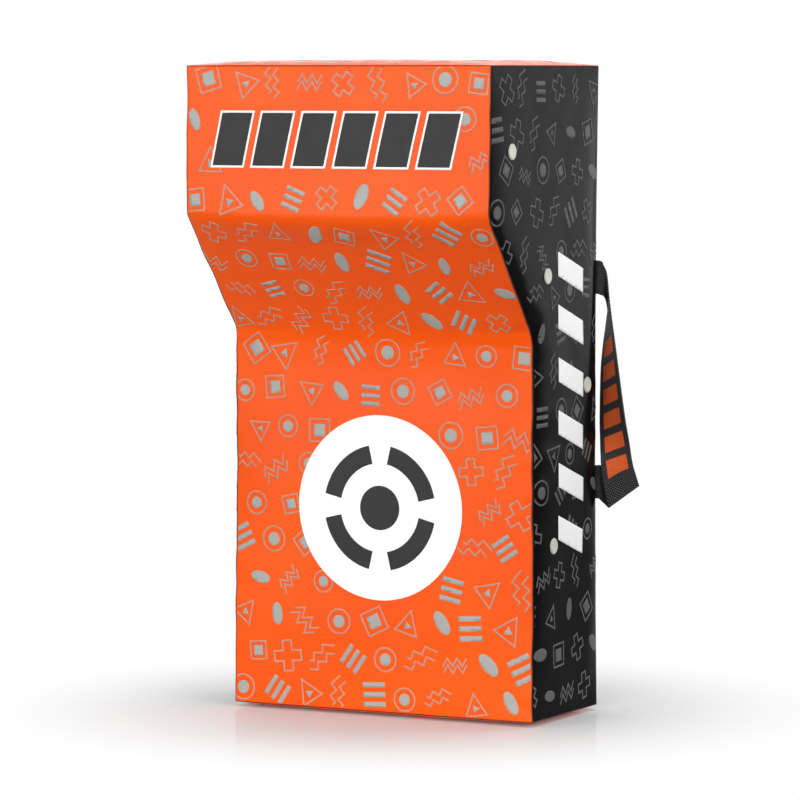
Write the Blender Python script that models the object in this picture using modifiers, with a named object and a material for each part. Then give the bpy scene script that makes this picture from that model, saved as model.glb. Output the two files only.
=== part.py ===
"""Tackle shield: a foam block with a stepped front in a zipped cover, with two webbing handles.

Metres, +Z up. The striking front faces -Y, the holder stands on the +Y side, and the base is at z = 0.
Every panel and foam block is first laid out on a plain stepped box, then plumped as one body, so that
neighbours keep their clearance all over.
"""

import math

import bmesh
import bpy
from mathutils import Matrix, Vector
from mathutils.bvhtree import BVHTree

# Body of the shield, from seam to seam
BODY_WIDTH = 0.400
BODY_HEIGHT = 0.766
LOWER_DEPTH = 0.177
BUMP_TOP_DEPTH = 0.111
BUMP_LIP_DEPTH = 0.116
SLOPE_FOOT_HEIGHT = 0.451
SLOPE_HEAD_HEIGHT = 0.597
SLOPE_FOOT_RADIUS = 0.045
SLOPE_HEAD_RADIUS = 0.034

# Plumpness of the filled cover
FRONT_CROWN = 0.003
SIDE_CROWN = 0.004
TOP_CROWN = 0.006
BASE_BULGE = 0.0055
BASE_CUT = 0.0005
CORNER_DRAW = 0.0025

# Cover fabric and the clearances in it
COVER_THICKNESS = 0.001
SEAM_GAP = 0.0003
SEAT_GAP = 0.0003
COVER_SLACK = 0.0016

# Foam
REAR_BOARD_THICKNESS = 0.030
WEDGE_TIP_THICKNESS = 0.004

# Zip down the middle of the back, closed with its slider at the lower end
ZIP_END_MARGIN = 0.083
ZIP_SLOT_WIDTH = 0.0170
ZIP_TAPE_WIDTH = 0.020
ZIP_TAPE_THICKNESS = 0.0007
ZIP_CHAIN_WIDTH = 0.0080
ZIP_CHAIN_THICKNESS = 0.0018
ZIP_SPINE_WIDTH = 0.0022
ZIP_TOOTH_PITCH = 0.008
ZIP_TOOTH_GAP = 0.0003
ZIP_STOP_LENGTH = 0.006
SLIDER_LENGTH = 0.020
SLIDER_PLATE_THICKNESS = 0.0014
SLIDER_FLANGE_WIDTH = 0.0016
SLIDER_EDGE_RADIUS = 0.0004
LUG_SPACING = 0.0078
LUG_THICKNESS = 0.0014
LUG_LENGTH = 0.0050
PULL_PIN_RADIUS = 0.0009
PULL_PIN_STANDOFF = 0.0029
PULL_CLEARANCE = 0.0004
PULL_LENGTH = 0.032
PULL_WIDTH = 0.0072
PULL_THICKNESS = 0.0016

# Side studs
STUD_RADIUS = 0.0095
STUD_HEIGHT = 0.0017
STUD_RIM_HEIGHT = 0.0008
STUD_BARREL_RADIUS = 0.0035
STUD_HOLE_CLEARANCE = 0.0003
WASHER_RADIUS = 0.0070
WASHER_THICKNESS = 0.0006
STUD_DEPTH_SHARES = (0.1707, 0.3594, 0.7797, 0.2486)
STUD_HEIGHT_SHARES = (0.8708, 0.6802, 0.5065, 0.2663)

# Webbing handles on the two back corners
WEBBING_WIDTH = 0.040
WEBBING_THICKNESS = 0.0018
HANDLE_FOOT_HEIGHT = 0.2489
HANDLE_SPAN = 0.2851
HANDLE_REACH = 0.040
HANDLE_PIVOT_OUT = 0.0013
HANDLE_PIVOT_BEHIND = 0.0032
HANDLE_FOLD_RADIUS = 0.0026
HANDLE_FOLD_ANGLE = math.radians(149.0)
TAB_LENGTH = 0.055
TAB_SETBACK = 0.0004
HANDLE_END_OVERRUN = 0.0005

# Middle of the strap at each station, as shares of the handle's reach outward, its reach behind the back
# and the span between the two ends, then the direction from its inner to its outer edge as shares of the
# webbing's width. They run from just below the upper sewn end to the low corner, where the strap folds.
STRAP_STATION_SHARES = (
    ((0.105, 0.152, 0.925), (0.02, -0.06, 1.02)),
    ((0.138, 0.200, 0.919), (0.05, -0.15, 0.96)),
    ((0.169, 0.319, 0.898), (0.11, -0.26, 0.90)),
    ((0.161, 0.450, 0.862), (0.20, -0.45, 0.83)),
    ((0.133, 0.570, 0.824), (0.31, -0.66, 0.69)),
    ((0.106, 0.642, 0.784), (0.46, -0.81, 0.47)),
    ((0.131, 0.632, 0.723), (0.58, -0.81, 0.20)),
    ((0.161, 0.598, 0.647), (0.70, -0.71, 0.03)),
    ((0.199, 0.551, 0.544), (0.82, -0.57, 0.05)),
    ((0.306, 0.532, 0.335), (0.96, -0.30, 0.02)),
    ((0.394, 0.510, 0.234), (0.94, 0.03, 0.02)),
    ((0.466, 0.437, 0.181), (0.86, 0.33, 0.02)),
    ((0.544, 0.369, 0.135), (0.76, 0.64, -0.02)),
    ((0.598, 0.450, 0.072), (0.72, 0.72, 0.32)),
    ((0.669, 0.544, 0.013), (0.64, 0.76, 0.62)),
)
STRAP_RETURN_SHARES = (
    ((0.188, 0.369, 0.048), (0.07, 0.16, 1.02)),
    ((0.062, 0.130, 0.070), (0.01, 0.03, 1.00)),
)

# Fineness of the meshes
CROWN_POWER = 4
END_CROWN_POWER = 6
FACE_LEVELS = (0.0, 0.06, 0.16, 0.32, 0.5, 0.68, 0.84, 0.94, 1.0)
END_LEVELS = (0.0, 0.025, 0.06, 0.11, 0.18, 0.3, 0.5, 0.7, 0.82, 0.89, 0.94, 0.975, 1.0)
FILLET_STEPS = 4
LOWER_PANEL_ROWS = 6
UPPER_PANEL_ROWS = 4
BACK_PANEL_ROWS = 12
STUD_SEGMENTS = 20
FOLD_STEPS = 5

HALF_WIDTH = BODY_WIDTH / 2
LINER_INSET = COVER_THICKNESS + SEAM_GAP
FOAM_INSET = COVER_THICKNESS + COVER_SLACK
SEAM_LIFT = BASE_BULGE - BASE_CUT
REAR_REACH = LOWER_DEPTH + HANDLE_REACH
FRONT_REACH = BUMP_LIP_DEPTH + FRONT_CROWN * 3 / 4
ORIGIN_DEPTH = (REAR_REACH - FRONT_REACH) / 2
ZIP_LENGTH = BODY_HEIGHT - 2 * ZIP_END_MARGIN

COLLECTION_NAME = "tackle_shield"
CUTTER_COLLECTION_NAME = "cutters"


def clear_scene():
    """Remove every object of the scene."""
    for leftover in list(bpy.data.objects):
        bpy.data.objects.remove(leftover, do_unlink=True)


def new_collection(name):
    """Make a collection and link it to the scene."""
    collection = bpy.data.collections.new(name)
    bpy.context.scene.collection.children.link(collection)
    return collection


def new_material(name, color, roughness, metallic=0.0):
    """Make a Principled material of one colour."""
    material = bpy.data.materials.new(name)
    material.use_nodes = True
    shader = material.node_tree.nodes["Principled BSDF"]
    shader.inputs["Base Color"].default_value = (*color, 1.0)
    shader.inputs["Roughness"].default_value = roughness
    shader.inputs["Metallic"].default_value = metallic
    material.diffuse_color = (*color, 1.0)
    return material


def make_palette():
    """Make the materials that the pieces share, by name."""
    return {
        "orange_cover": new_material("orange_cover", (0.95, 0.12, 0.02), 0.45),
        "black_cover": new_material("black_cover", (0.02, 0.02, 0.022), 0.35),
        "foam": new_material("foam", (0.72, 0.70, 0.64), 0.9),
        "board": new_material("board", (0.30, 0.31, 0.33), 0.85),
        "webbing": new_material("webbing", (0.012, 0.012, 0.013), 0.8),
        "zip_tape": new_material("zip_tape", (0.02, 0.02, 0.02), 0.85),
        "zip_teeth": new_material("zip_teeth", (0.03, 0.03, 0.03), 0.4),
        "zip_metal": new_material("zip_metal", (0.35, 0.35, 0.36), 0.3, 1.0),
        "stud": new_material("stud", (0.55, 0.54, 0.47), 0.35),
    }


def link_object(name, mesh, material, collection, parent):
    """Make an object of a mesh, in its collection, under its parent."""
    piece = bpy.data.objects.new(name, mesh)
    if material is not None:
        piece.data.materials.append(material)
    piece.parent = parent
    collection.objects.link(piece)
    return piece


def to_mesh(name, shape):
    """Turn a bmesh into a mesh with its normals pointing out."""
    bmesh.ops.recalc_face_normals(shape, faces=shape.faces)
    mesh = bpy.data.meshes.new(name)
    shape.to_mesh(mesh)
    shape.free()
    return mesh


def offset_outline(inset):
    """Give the corners (y, z) of the front line, moved inward by a distance."""
    corners = [
        Vector((0.0, 0.0)),
        Vector((0.0, SLOPE_FOOT_HEIGHT)),
        Vector((-BUMP_LIP_DEPTH, SLOPE_HEAD_HEIGHT)),
        Vector((-BUMP_TOP_DEPTH, BODY_HEIGHT)),
    ]
    runs = [(b - a).normalized() for a, b in zip(corners, corners[1:])]
    inward = [Vector((run.y, -run.x)) for run in runs]
    moved = [corners[0] + inward[0] * inset]
    for corner, before, after in zip(corners[1:-1], inward, inward[1:]):
        moved.append(corner + (before + after) * (inset / (1 + before.dot(after))))
    moved.append(corners[-1] + inward[-1] * inset)
    return moved


def fillet_points(before, corner, after, radius):
    """Give the points of an arc that rounds a corner."""
    toward_before = (before - corner).normalized()
    toward_after = (after - corner).normalized()
    half_angle = toward_before.angle(toward_after) / 2
    middle = (toward_before + toward_after).normalized()
    centre = corner + middle * (radius / math.sin(half_angle))
    start = corner + toward_before * (radius / math.tan(half_angle))
    sweep = toward_before.angle_signed(toward_after)
    turn = math.copysign(math.pi - 2 * half_angle, sweep)
    spoke = start - centre
    points = []
    for step in range(FILLET_STEPS + 1):
        angle = turn * step / FILLET_STEPS
        points.append(centre + Matrix.Rotation(angle, 2) @ spoke)
    return points


def split_run(start, end, pieces):
    """Give the inner points that divide a straight run."""
    return [start.lerp(end, step / pieces) for step in range(1, pieces)]


def front_line(inset, end_inset):
    """Give the rows (y, z) of the front, from bottom to top, inset from the outer face and the ends."""
    foot, slope_foot, slope_head, head = offset_outline(inset)
    low_arc = fillet_points(foot, slope_foot, slope_head, SLOPE_FOOT_RADIUS + inset)
    high_arc = fillet_points(slope_foot, slope_head, head, SLOPE_HEAD_RADIUS - inset)
    start = Vector((foot.x, end_inset))
    end = Vector((head.x, BODY_HEIGHT - end_inset))
    rows = [start]
    rows += split_run(start, low_arc[0], LOWER_PANEL_ROWS)
    rows += low_arc
    rows += split_run(low_arc[-1], high_arc[0], UPPER_PANEL_ROWS // 2)
    rows += high_arc
    rows += split_run(high_arc[-1], end, UPPER_PANEL_ROWS)
    rows.append(end)
    return rows


def front_depth_at(height):
    """Give y of the sharp-cornered front line at a height."""
    corners = offset_outline(0.0)
    for low, high in zip(corners, corners[1:]):
        if height <= high.y:
            share = max(0.0, (height - low.y) / (high.y - low.y))
            return low.x + (high.x - low.x) * share
    return corners[-1].x


def plump(point):
    """Move a point of the plain stepped box to its place in the filled cover.

    Faces swell between their seams and the upright corners draw in at mid height.
    """
    x, y, z = point
    front = front_depth_at(z)
    across_share = max(-1.0, min(1.0, x / HALF_WIDTH))
    rear_share = max(0.0, min(1.0, (y - front) / (LOWER_DEPTH - front)))
    rise_share = max(0.0, min(1.0, z / BODY_HEIGHT))
    depth_share = 2 * rear_share - 1
    height_share = 2 * rise_share - 1
    across = 1 - abs(across_share) ** CROWN_POWER
    through = 1 - abs(depth_share) ** CROWN_POWER
    up = 1 - abs(height_share) ** CROWN_POWER
    end_swell = (1 - abs(across_share) ** END_CROWN_POWER) * (1 - abs(depth_share) ** END_CROWN_POWER)
    draw = CORNER_DRAW * (1 - height_share ** 2)
    moved_x = x + across_share * (SIDE_CROWN * up * through - draw * (1 - through))
    forward = FRONT_CROWN * up * across - draw * (1 - across)
    moved_y = y - (1 - rear_share) * forward - rear_share * draw * (1 - across)
    drop = min(BASE_BULGE * end_swell, SEAM_LIFT)
    moved_z = z + rise_share * TOP_CROWN * end_swell - (1 - rise_share) * drop
    return Vector((moved_x, moved_y, moved_z))


def mix(low, high, share):
    """Give the value at a share of the way between two values."""
    return low + (high - low) * share


def sheet_mesh(name, columns, rows, place, outward):
    """Make an open sheet from a grid.

    columns and rows are the numbers of grid lines, place(i, j) gives where two lines cross, and
    outward is the direction that the face side looks.
    """
    shape = bmesh.new()
    bmesh.ops.create_grid(shape, x_segments=columns - 1, y_segments=rows - 1, size=1.0)
    for vertex in shape.verts:
        column = round((vertex.co.x + 1) / 2 * (columns - 1))
        row = round((vertex.co.y + 1) / 2 * (rows - 1))
        vertex.co = place(column, row)
    shape.normal_update()
    facing = sum((face.normal * face.calc_area() for face in shape.faces), Vector())
    if facing.dot(outward) < 0:
        bmesh.ops.reverse_faces(shape, faces=shape.faces)
    mesh = bpy.data.meshes.new(name)
    shape.to_mesh(mesh)
    shape.free()
    return mesh


def add_solidify(piece, thickness, offset, even=True):
    """Give an open sheet its thickness. A twisted strap does without the even offset."""
    solidify = piece.modifiers.new("fabric_thickness", "SOLIDIFY")
    solidify.thickness = thickness
    solidify.offset = offset
    solidify.use_even_offset = even
    return solidify


def add_cut(piece, cutter):
    """Cut a piece with another object."""
    cut = piece.modifiers.new("cut_" + cutter.name, "BOOLEAN")
    cut.operation = "DIFFERENCE"
    cut.solver = "EXACT"
    cut.object = cutter
    return cut


def lattice_mesh(name, columns, layers, rows, place):
    """Make a closed block from a cube divided into cells.

    columns, layers and rows are the numbers of cells along x, y and z, and place(i, j, k) gives a
    corner of the cells on the plain box.
    """
    shape = bmesh.new()
    bmesh.ops.create_cube(shape, size=1.0)
    for axis, cells in enumerate((columns, layers, rows)):
        normal = Vector((0.0, 0.0, 0.0))
        normal[axis] = 1.0
        for cell in range(1, cells):
            where = normal * (cell / cells - 0.5)
            geometry = shape.verts[:] + shape.edges[:] + shape.faces[:]
            bmesh.ops.bisect_plane(shape, geom=geometry, plane_co=where, plane_no=normal)
    for vertex in shape.verts:
        column = round((vertex.co.x + 0.5) * columns)
        layer = round((vertex.co.y + 0.5) * layers)
        row = round((vertex.co.z + 0.5) * rows)
        vertex.co = plump(place(column, layer, row))
    return to_mesh(name, shape)


def box_mesh(name, low, high, edge_radius=0.0):
    """Make a box between two corners, with its edges rounded if a radius is given."""
    shape = bmesh.new()
    bmesh.ops.create_cube(shape, size=1.0)
    size = Vector(high) - Vector(low)
    centre = (Vector(high) + Vector(low)) / 2
    bmesh.ops.scale(shape, vec=size, verts=shape.verts)
    bmesh.ops.translate(shape, vec=centre, verts=shape.verts)
    if edge_radius:
        bmesh.ops.bevel(
            shape, geom=shape.edges[:], offset=edge_radius, offset_type="OFFSET",
            segments=1, profile=0.5, affect="EDGES", material=-1,
        )
    return to_mesh(name, shape)


class Shield:
    """Builds the pieces under one parent empty, so that the origin is below the middle of the whole."""

    def __init__(self):
        self.pieces = new_collection(COLLECTION_NAME)
        self.cutters = new_collection(CUTTER_COLLECTION_NAME)
        self.palette = make_palette()
        self.root = bpy.data.objects.new("shield_origin", None)
        self.root.location = (0.0, -ORIGIN_DEPTH, SEAM_LIFT)
        self.pieces.objects.link(self.root)

    def add(self, name, mesh, material_name):
        """Add a piece."""
        return link_object(name, mesh, self.palette[material_name], self.pieces, self.root)

    def add_cutter(self, name, mesh):
        """Add a cutter, which doesn't show."""
        cutter = link_object(name, mesh, None, self.cutters, self.root)
        cutter.hide_render = True
        cutter.display_type = "WIRE"
        return cutter

    def build(self):
        """Build every piece."""
        self.build_front()
        self.build_ends()
        self.build_back()
        self.build_foam()
        self.build_zip()
        for side_name, side in (("left", -1.0), ("right", 1.0)):
            panel = self.build_side(side_name, side)
            self.build_studs(side_name, side, panel)
            self.build_handle(side_name, side)

    def build_front(self):
        """Build the one sheet over the lower front, the slope and the upper front."""
        rows = front_line(0.0, LINER_INSET)

        def place(column, row):
            x = mix(-HALF_WIDTH, HALF_WIDTH, FACE_LEVELS[column])
            return plump(Vector((x, rows[row].x, rows[row].y)))

        mesh = sheet_mesh("front_panel", len(FACE_LEVELS), len(rows), place, Vector((0.0, -1.0, 0.0)))
        piece = self.add("front_panel", mesh, "orange_cover")
        add_solidify(piece, COVER_THICKNESS, -1.0)

    def build_ends(self):
        """Build the top panel and the bottom panel, which cover the rims of the upright panels."""
        levels = END_LEVELS
        for name, height, up in (("top_panel", BODY_HEIGHT, 1.0), ("bottom_panel", 0.0, -1.0)):
            front = front_depth_at(height)

            def place(column, row, height=height, front=front):
                x = mix(-HALF_WIDTH, HALF_WIDTH, levels[column])
                return plump(Vector((x, mix(front, LOWER_DEPTH, levels[row]), height)))

            mesh = sheet_mesh(name, len(levels), len(levels), place, Vector((0.0, 0.0, up)))
            piece = self.add(name, mesh, "orange_cover")
            add_solidify(piece, COVER_THICKNESS, -1.0)

    def build_back(self):
        """Build the back panel with the slot that the zip closes."""

        def place(column, row):
            x = mix(-HALF_WIDTH, HALF_WIDTH, FACE_LEVELS[column])
            z = mix(LINER_INSET, BODY_HEIGHT - LINER_INSET, row / BACK_PANEL_ROWS)
            return plump(Vector((x, LOWER_DEPTH, z)))

        mesh = sheet_mesh("back_panel", len(FACE_LEVELS), BACK_PANEL_ROWS + 1, place, Vector((0.0, 1.0, 0.0)))
        piece = self.add("back_panel", mesh, "black_cover")
        add_solidify(piece, COVER_THICKNESS, -1.0)
        slot = box_mesh(
            "zip_slot",
            (-ZIP_SLOT_WIDTH / 2, LOWER_DEPTH - FOAM_INSET, ZIP_END_MARGIN),
            (ZIP_SLOT_WIDTH / 2, LOWER_DEPTH + FOAM_INSET, ZIP_END_MARGIN + ZIP_LENGTH),
        )
        add_cut(piece, self.add_cutter("zip_slot", slot))

    def build_side(self, side_name, side):
        """Build one side panel, between the front and the back panel."""
        rows = front_line(LINER_INSET, LINER_INSET)
        rear = LOWER_DEPTH - LINER_INSET

        def place(column, row):
            y = mix(rows[row].x, rear, FACE_LEVELS[column])
            return plump(Vector((side * HALF_WIDTH, y, rows[row].y)))

        name = side_name + "_side_panel"
        mesh = sheet_mesh(name, len(FACE_LEVELS), len(rows), place, Vector((side, 0.0, 0.0)))
        piece = self.add(name, mesh, "black_cover")
        add_solidify(piece, COVER_THICKNESS, -1.0)
        return piece

    def build_foam(self):
        """Build the main block, the firmer board behind it and the wedge of the upper front."""
        half = HALF_WIDTH - FOAM_INSET
        line = front_line(FOAM_INSET, FOAM_INSET)
        heights = [COVER_THICKNESS + SEAT_GAP] + [row.y for row in line[1:]]
        board_rear = LOWER_DEPTH - FOAM_INSET
        board_front = board_rear - REAR_BOARD_THICKNESS
        block_rear = board_front - SEAT_GAP
        columns = len(END_LEVELS) - 1

        def slab(name, front, rear, layers, material_name):
            def place(column, layer, row):
                x = mix(-half, half, END_LEVELS[column])
                return Vector((x, mix(front, rear, layer / layers), heights[row]))

            self.add(name, lattice_mesh(name, columns, layers, len(heights) - 1, place), material_name)

        slab("main_foam_block", FOAM_INSET, block_rear, 4, "foam")
        slab("rear_foam_board", board_front, board_rear, 2, "board")

        wedge_rear = FOAM_INSET - SEAT_GAP
        rows = [row for row in line if wedge_rear - row.x > WEDGE_TIP_THICKNESS]
        layers = 3

        def place_wedge(column, layer, row):
            x = mix(-half, half, END_LEVELS[column])
            return Vector((x, mix(rows[row].x, wedge_rear, layer / layers), rows[row].y))

        mesh = lattice_mesh("upper_foam_wedge", columns, layers, len(rows) - 1, place_wedge)
        self.add("upper_foam_wedge", mesh, "foam")

    def stud_frame(self, panel, side, depth_share, height_share):
        """Give the matrix of a stud on a panel, with its Z along the panel's outward normal."""
        corners = [vertex.co for vertex in panel.data.vertices]
        surface = BVHTree.FromPolygons(corners, [face.vertices[:] for face in panel.data.polygons])
        height = BODY_HEIGHT * height_share
        start = Vector((side * BODY_WIDTH, mix(front_depth_at(height), LOWER_DEPTH, depth_share), height))
        middle, normal, _, _ = surface.ray_cast(start, Vector((-side, 0.0, 0.0)))
        if normal.x * side < 0:
            normal.negate()
        turn = normal.to_track_quat("Z", "Y").to_matrix().to_4x4()
        return Matrix.Translation(middle) @ turn

    def build_studs(self, side_name, side, panel):
        """Build the studs of one side, each through its own hole, with a washer inside."""
        washer_high = -(COVER_THICKNESS + SEAT_GAP)
        washer_low = washer_high - WASHER_THICKNESS
        hole_radius = STUD_BARREL_RADIUS + STUD_HOLE_CLEARANCE
        cap_profile = (
            (0.0, STUD_HEIGHT),
            (STUD_RADIUS - STUD_RIM_HEIGHT, STUD_HEIGHT - STUD_RIM_HEIGHT / 4),
            (STUD_RADIUS, STUD_HEIGHT - STUD_RIM_HEIGHT),
            (STUD_RADIUS, SEAT_GAP),
            (STUD_BARREL_RADIUS, SEAT_GAP),
            (STUD_BARREL_RADIUS, washer_low),
            (0.0, washer_low),
        )
        washer_profile = (
            (hole_radius, washer_high),
            (WASHER_RADIUS, washer_high),
            (WASHER_RADIUS, washer_low),
            (hole_radius, washer_low),
            (hole_radius, washer_high),
        )
        cap_mesh = self.turned_mesh("stud_cap", cap_profile)
        washer_mesh = self.turned_mesh("stud_washer", washer_profile)
        hole = bmesh.new()
        bmesh.ops.create_cone(
            hole, cap_ends=True, segments=STUD_SEGMENTS, radius1=hole_radius, radius2=hole_radius,
            depth=2 * FOAM_INSET,
        )
        hole_mesh = to_mesh("stud_hole", hole)
        for number, shares in enumerate(zip(STUD_DEPTH_SHARES, STUD_HEIGHT_SHARES), start=1):
            frame = self.stud_frame(panel, side, *shares)
            cutter = self.add_cutter(f"{side_name}_stud_hole_{number}", hole_mesh)
            cutter.matrix_local = frame
            add_cut(panel, cutter)
            cap = self.add(f"{side_name}_stud_{number}", cap_mesh, "stud")
            cap.matrix_local = frame
            washer = self.add(f"{side_name}_stud_washer_{number}", washer_mesh, "stud")
            washer.matrix_local = frame

    def turned_mesh(self, name, profile):
        """Turn a profile (radius, height) about Z."""
        shape = bmesh.new()
        line = [shape.verts.new((radius, 0.0, height)) for radius, height in profile]
        for low, high in zip(line, line[1:]):
            shape.edges.new((low, high))
        bmesh.ops.spin(
            shape, geom=shape.verts[:] + shape.edges[:], cent=(0.0, 0.0, 0.0), axis=(0.0, 0.0, 1.0),
            angle=2 * math.pi, steps=STUD_SEGMENTS, use_merge=True,
        )
        bmesh.ops.remove_doubles(shape, verts=shape.verts, dist=ZIP_TOOTH_GAP / 10)
        mesh = to_mesh(name, shape)
        mesh.shade_smooth()
        mesh.set_sharp_from_angle(angle=math.radians(40))
        return mesh

    def build_zip(self):
        """Build the tapes, teeth, stops, slider and pull tab of the zip."""
        tape_face = LOWER_DEPTH - COVER_THICKNESS - SEAT_GAP
        tape_back = tape_face - ZIP_TAPE_THICKNESS
        chain_low = tape_face + SEAT_GAP
        chain_high = chain_low + ZIP_CHAIN_THICKNESS
        foot = ZIP_END_MARGIN
        head = foot + ZIP_LENGTH
        tape_end = ZIP_STOP_LENGTH
        for side_name, side in (("left", -1.0), ("right", 1.0)):
            edges = sorted((side * SEAT_GAP, side * (SEAT_GAP + ZIP_TAPE_WIDTH)))
            tape = box_mesh(
                side_name + "_zip_tape",
                (edges[0], tape_back, foot - tape_end), (edges[1], tape_face, head + tape_end),
            )
            self.add(side_name + "_zip_tape", tape, "zip_tape")
            self.add_teeth(side_name, side, chain_low)
            reach = sorted((side * SEAT_GAP, side * ZIP_CHAIN_WIDTH / 2))
            stop = box_mesh(
                side_name + "_zip_stop",
                (reach[0], chain_low, foot + SEAT_GAP),
                (reach[1], chain_high, foot + SEAT_GAP + ZIP_STOP_LENGTH), SLIDER_EDGE_RADIUS,
            )
            self.add(side_name + "_zip_stop", stop, "zip_metal")
        end_stop = box_mesh(
            "zip_end_stop",
            (-ZIP_CHAIN_WIDTH / 2, chain_low, head - SEAT_GAP - ZIP_STOP_LENGTH),
            (ZIP_CHAIN_WIDTH / 2, chain_high, head - SEAT_GAP), SLIDER_EDGE_RADIUS,
        )
        self.add("zip_end_stop", end_stop, "zip_metal")
        self.build_slider(chain_low, chain_high)

    def add_teeth(self, side_name, side, chain_low):
        """Build one half of the teeth as a comb. The left one is the right one turned half round."""
        clear = ZIP_STOP_LENGTH + 2 * SEAT_GAP
        length = ZIP_LENGTH - 2 * clear
        count = int(length / ZIP_TOOTH_PITCH)
        tooth = ZIP_TOOTH_PITCH / 2 - ZIP_TOOTH_GAP
        outer = ZIP_CHAIN_WIDTH / 2
        root = outer - ZIP_SPINE_WIDTH
        tip = -(root - ZIP_TOOTH_GAP)
        used = count * ZIP_TOOTH_PITCH
        outline = [(outer, 0.0), (outer, used), (root, used)]
        for number in reversed(range(count)):
            low = (number + 1 / 2) * ZIP_TOOTH_PITCH + ZIP_TOOTH_GAP / 2
            outline += [(root, low + tooth), (tip, low + tooth), (tip, low), (root, low)]
        outline.append((root, 0.0))
        curve = bpy.data.curves.new(side_name + "_zip_teeth", "CURVE")
        curve.dimensions = "2D"
        curve.fill_mode = "BOTH"
        curve.extrude = ZIP_CHAIN_THICKNESS / 2
        spline = curve.splines.new("POLY")
        spline.points.add(len(outline) - 1)
        for control, (x, y) in zip(spline.points, outline):
            control.co = (x, y, 0.0, 1.0)
        spline.use_cyclic_u = True
        piece = self.add(side_name + "_zip_teeth", curve, "zip_teeth")
        foot = ZIP_END_MARGIN + clear
        turned = side < 0
        piece.location = (0.0, chain_low + ZIP_CHAIN_THICKNESS / 2, foot + used if turned else foot)
        piece.rotation_euler = (math.radians(90), math.pi if turned else 0.0, 0.0)

    def build_slider(self, chain_low, chain_high):
        """Build the slider, which straddles the teeth, and the tab that hangs on its pin."""
        plate_low = chain_high + SEAT_GAP
        plate_high = plate_low + SLIDER_PLATE_THICKNESS
        flange_in = ZIP_CHAIN_WIDTH / 2 + SEAT_GAP
        flange_out = flange_in + SLIDER_FLANGE_WIDTH
        foot = ZIP_END_MARGIN + ZIP_STOP_LENGTH + 3 * SEAT_GAP
        pin_height = foot + SLIDER_LENGTH - LUG_LENGTH / 2 - SLIDER_EDGE_RADIUS
        pin_depth = plate_high + PULL_PIN_STANDOFF
        body = box_mesh(
            "zip_slider", (-flange_out, chain_low, foot), (flange_out, plate_high, foot + SLIDER_LENGTH),
            SLIDER_EDGE_RADIUS,
        )
        slider = self.add("zip_slider", body, "zip_metal")
        channel = box_mesh(
            "slider_channel", (-flange_in, chain_low - FOAM_INSET, foot - FOAM_INSET),
            (flange_in, plate_low, foot + SLIDER_LENGTH + FOAM_INSET),
        )
        add_cut(slider, self.add_cutter("slider_channel", channel))
        lug_in = LUG_SPACING / 2
        for name, side in (("left", -1.0), ("right", 1.0)):
            edges = sorted((side * lug_in, side * (lug_in + LUG_THICKNESS)))
            lug = box_mesh(
                "slider_lug",
                (edges[0], plate_high - SLIDER_EDGE_RADIUS, pin_height - LUG_LENGTH / 2),
                (edges[1], pin_depth + 2 * PULL_PIN_RADIUS, pin_height + LUG_LENGTH / 2),
            )
            self.add_join(slider, f"slider_{name}_lug", lug)
        pin = bmesh.new()
        bmesh.ops.create_cone(
            pin, cap_ends=True, segments=STUD_SEGMENTS // 2, radius1=PULL_PIN_RADIUS,
            radius2=PULL_PIN_RADIUS, depth=LUG_SPACING + LUG_THICKNESS,
        )
        bmesh.ops.rotate(pin, cent=(0.0, 0.0, 0.0), matrix=Matrix.Rotation(math.radians(90), 3, "Y"),
                         verts=pin.verts)
        bmesh.ops.translate(pin, vec=(0.0, pin_depth, pin_height), verts=pin.verts)
        self.add_join(slider, "slider_pin", to_mesh("slider_pin", pin))
        self.build_pull(pin_depth, pin_height)

    def add_join(self, piece, name, mesh):
        """Join a shape, which doesn't show by itself, to a piece."""
        tool = self.add_cutter(name, mesh)
        join = piece.modifiers.new("join_" + name, "BOOLEAN")
        join.operation = "UNION"
        join.solver = "EXACT"
        join.object = tool

    def build_pull(self, pin_depth, pin_height):
        """Build the pull tab round the slider's pin, with its origin on the pin's axis."""
        bore_radius = PULL_PIN_RADIUS + PULL_CLEARANCE
        eye_radius = bore_radius + PULL_THICKNESS / 2
        half_thickness = PULL_THICKNESS / 2
        neck_angle = math.asin(half_thickness / eye_radius)
        outline = [(-half_thickness, -PULL_LENGTH), (half_thickness, -PULL_LENGTH)]
        for step in range(STUD_SEGMENTS + 1):
            angle = -math.pi / 2 + mix(neck_angle, 2 * math.pi - neck_angle, step / STUD_SEGMENTS)
            outline.append((eye_radius * math.cos(angle), eye_radius * math.sin(angle)))
        bore = []
        for step in range(STUD_SEGMENTS):
            angle = 2 * math.pi * step / STUD_SEGMENTS
            bore.append((bore_radius * math.cos(angle), bore_radius * math.sin(angle)))
        curve = bpy.data.curves.new("zip_pull_tab", "CURVE")
        curve.dimensions = "2D"
        curve.fill_mode = "BOTH"
        curve.extrude = PULL_WIDTH / 2
        for ring in (outline, bore):
            spline = curve.splines.new("POLY")
            spline.points.add(len(ring) - 1)
            for control, (x, y) in zip(spline.points, ring):
                control.co = (x, y, 0.0, 1.0)
            spline.use_cyclic_u = True
        pull = self.add("zip_pull_tab", curve, "zip_metal")
        pull.location = (0.0, pin_depth, pin_height)
        pull.rotation_euler = (math.radians(90), 0.0, math.radians(90))

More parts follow.
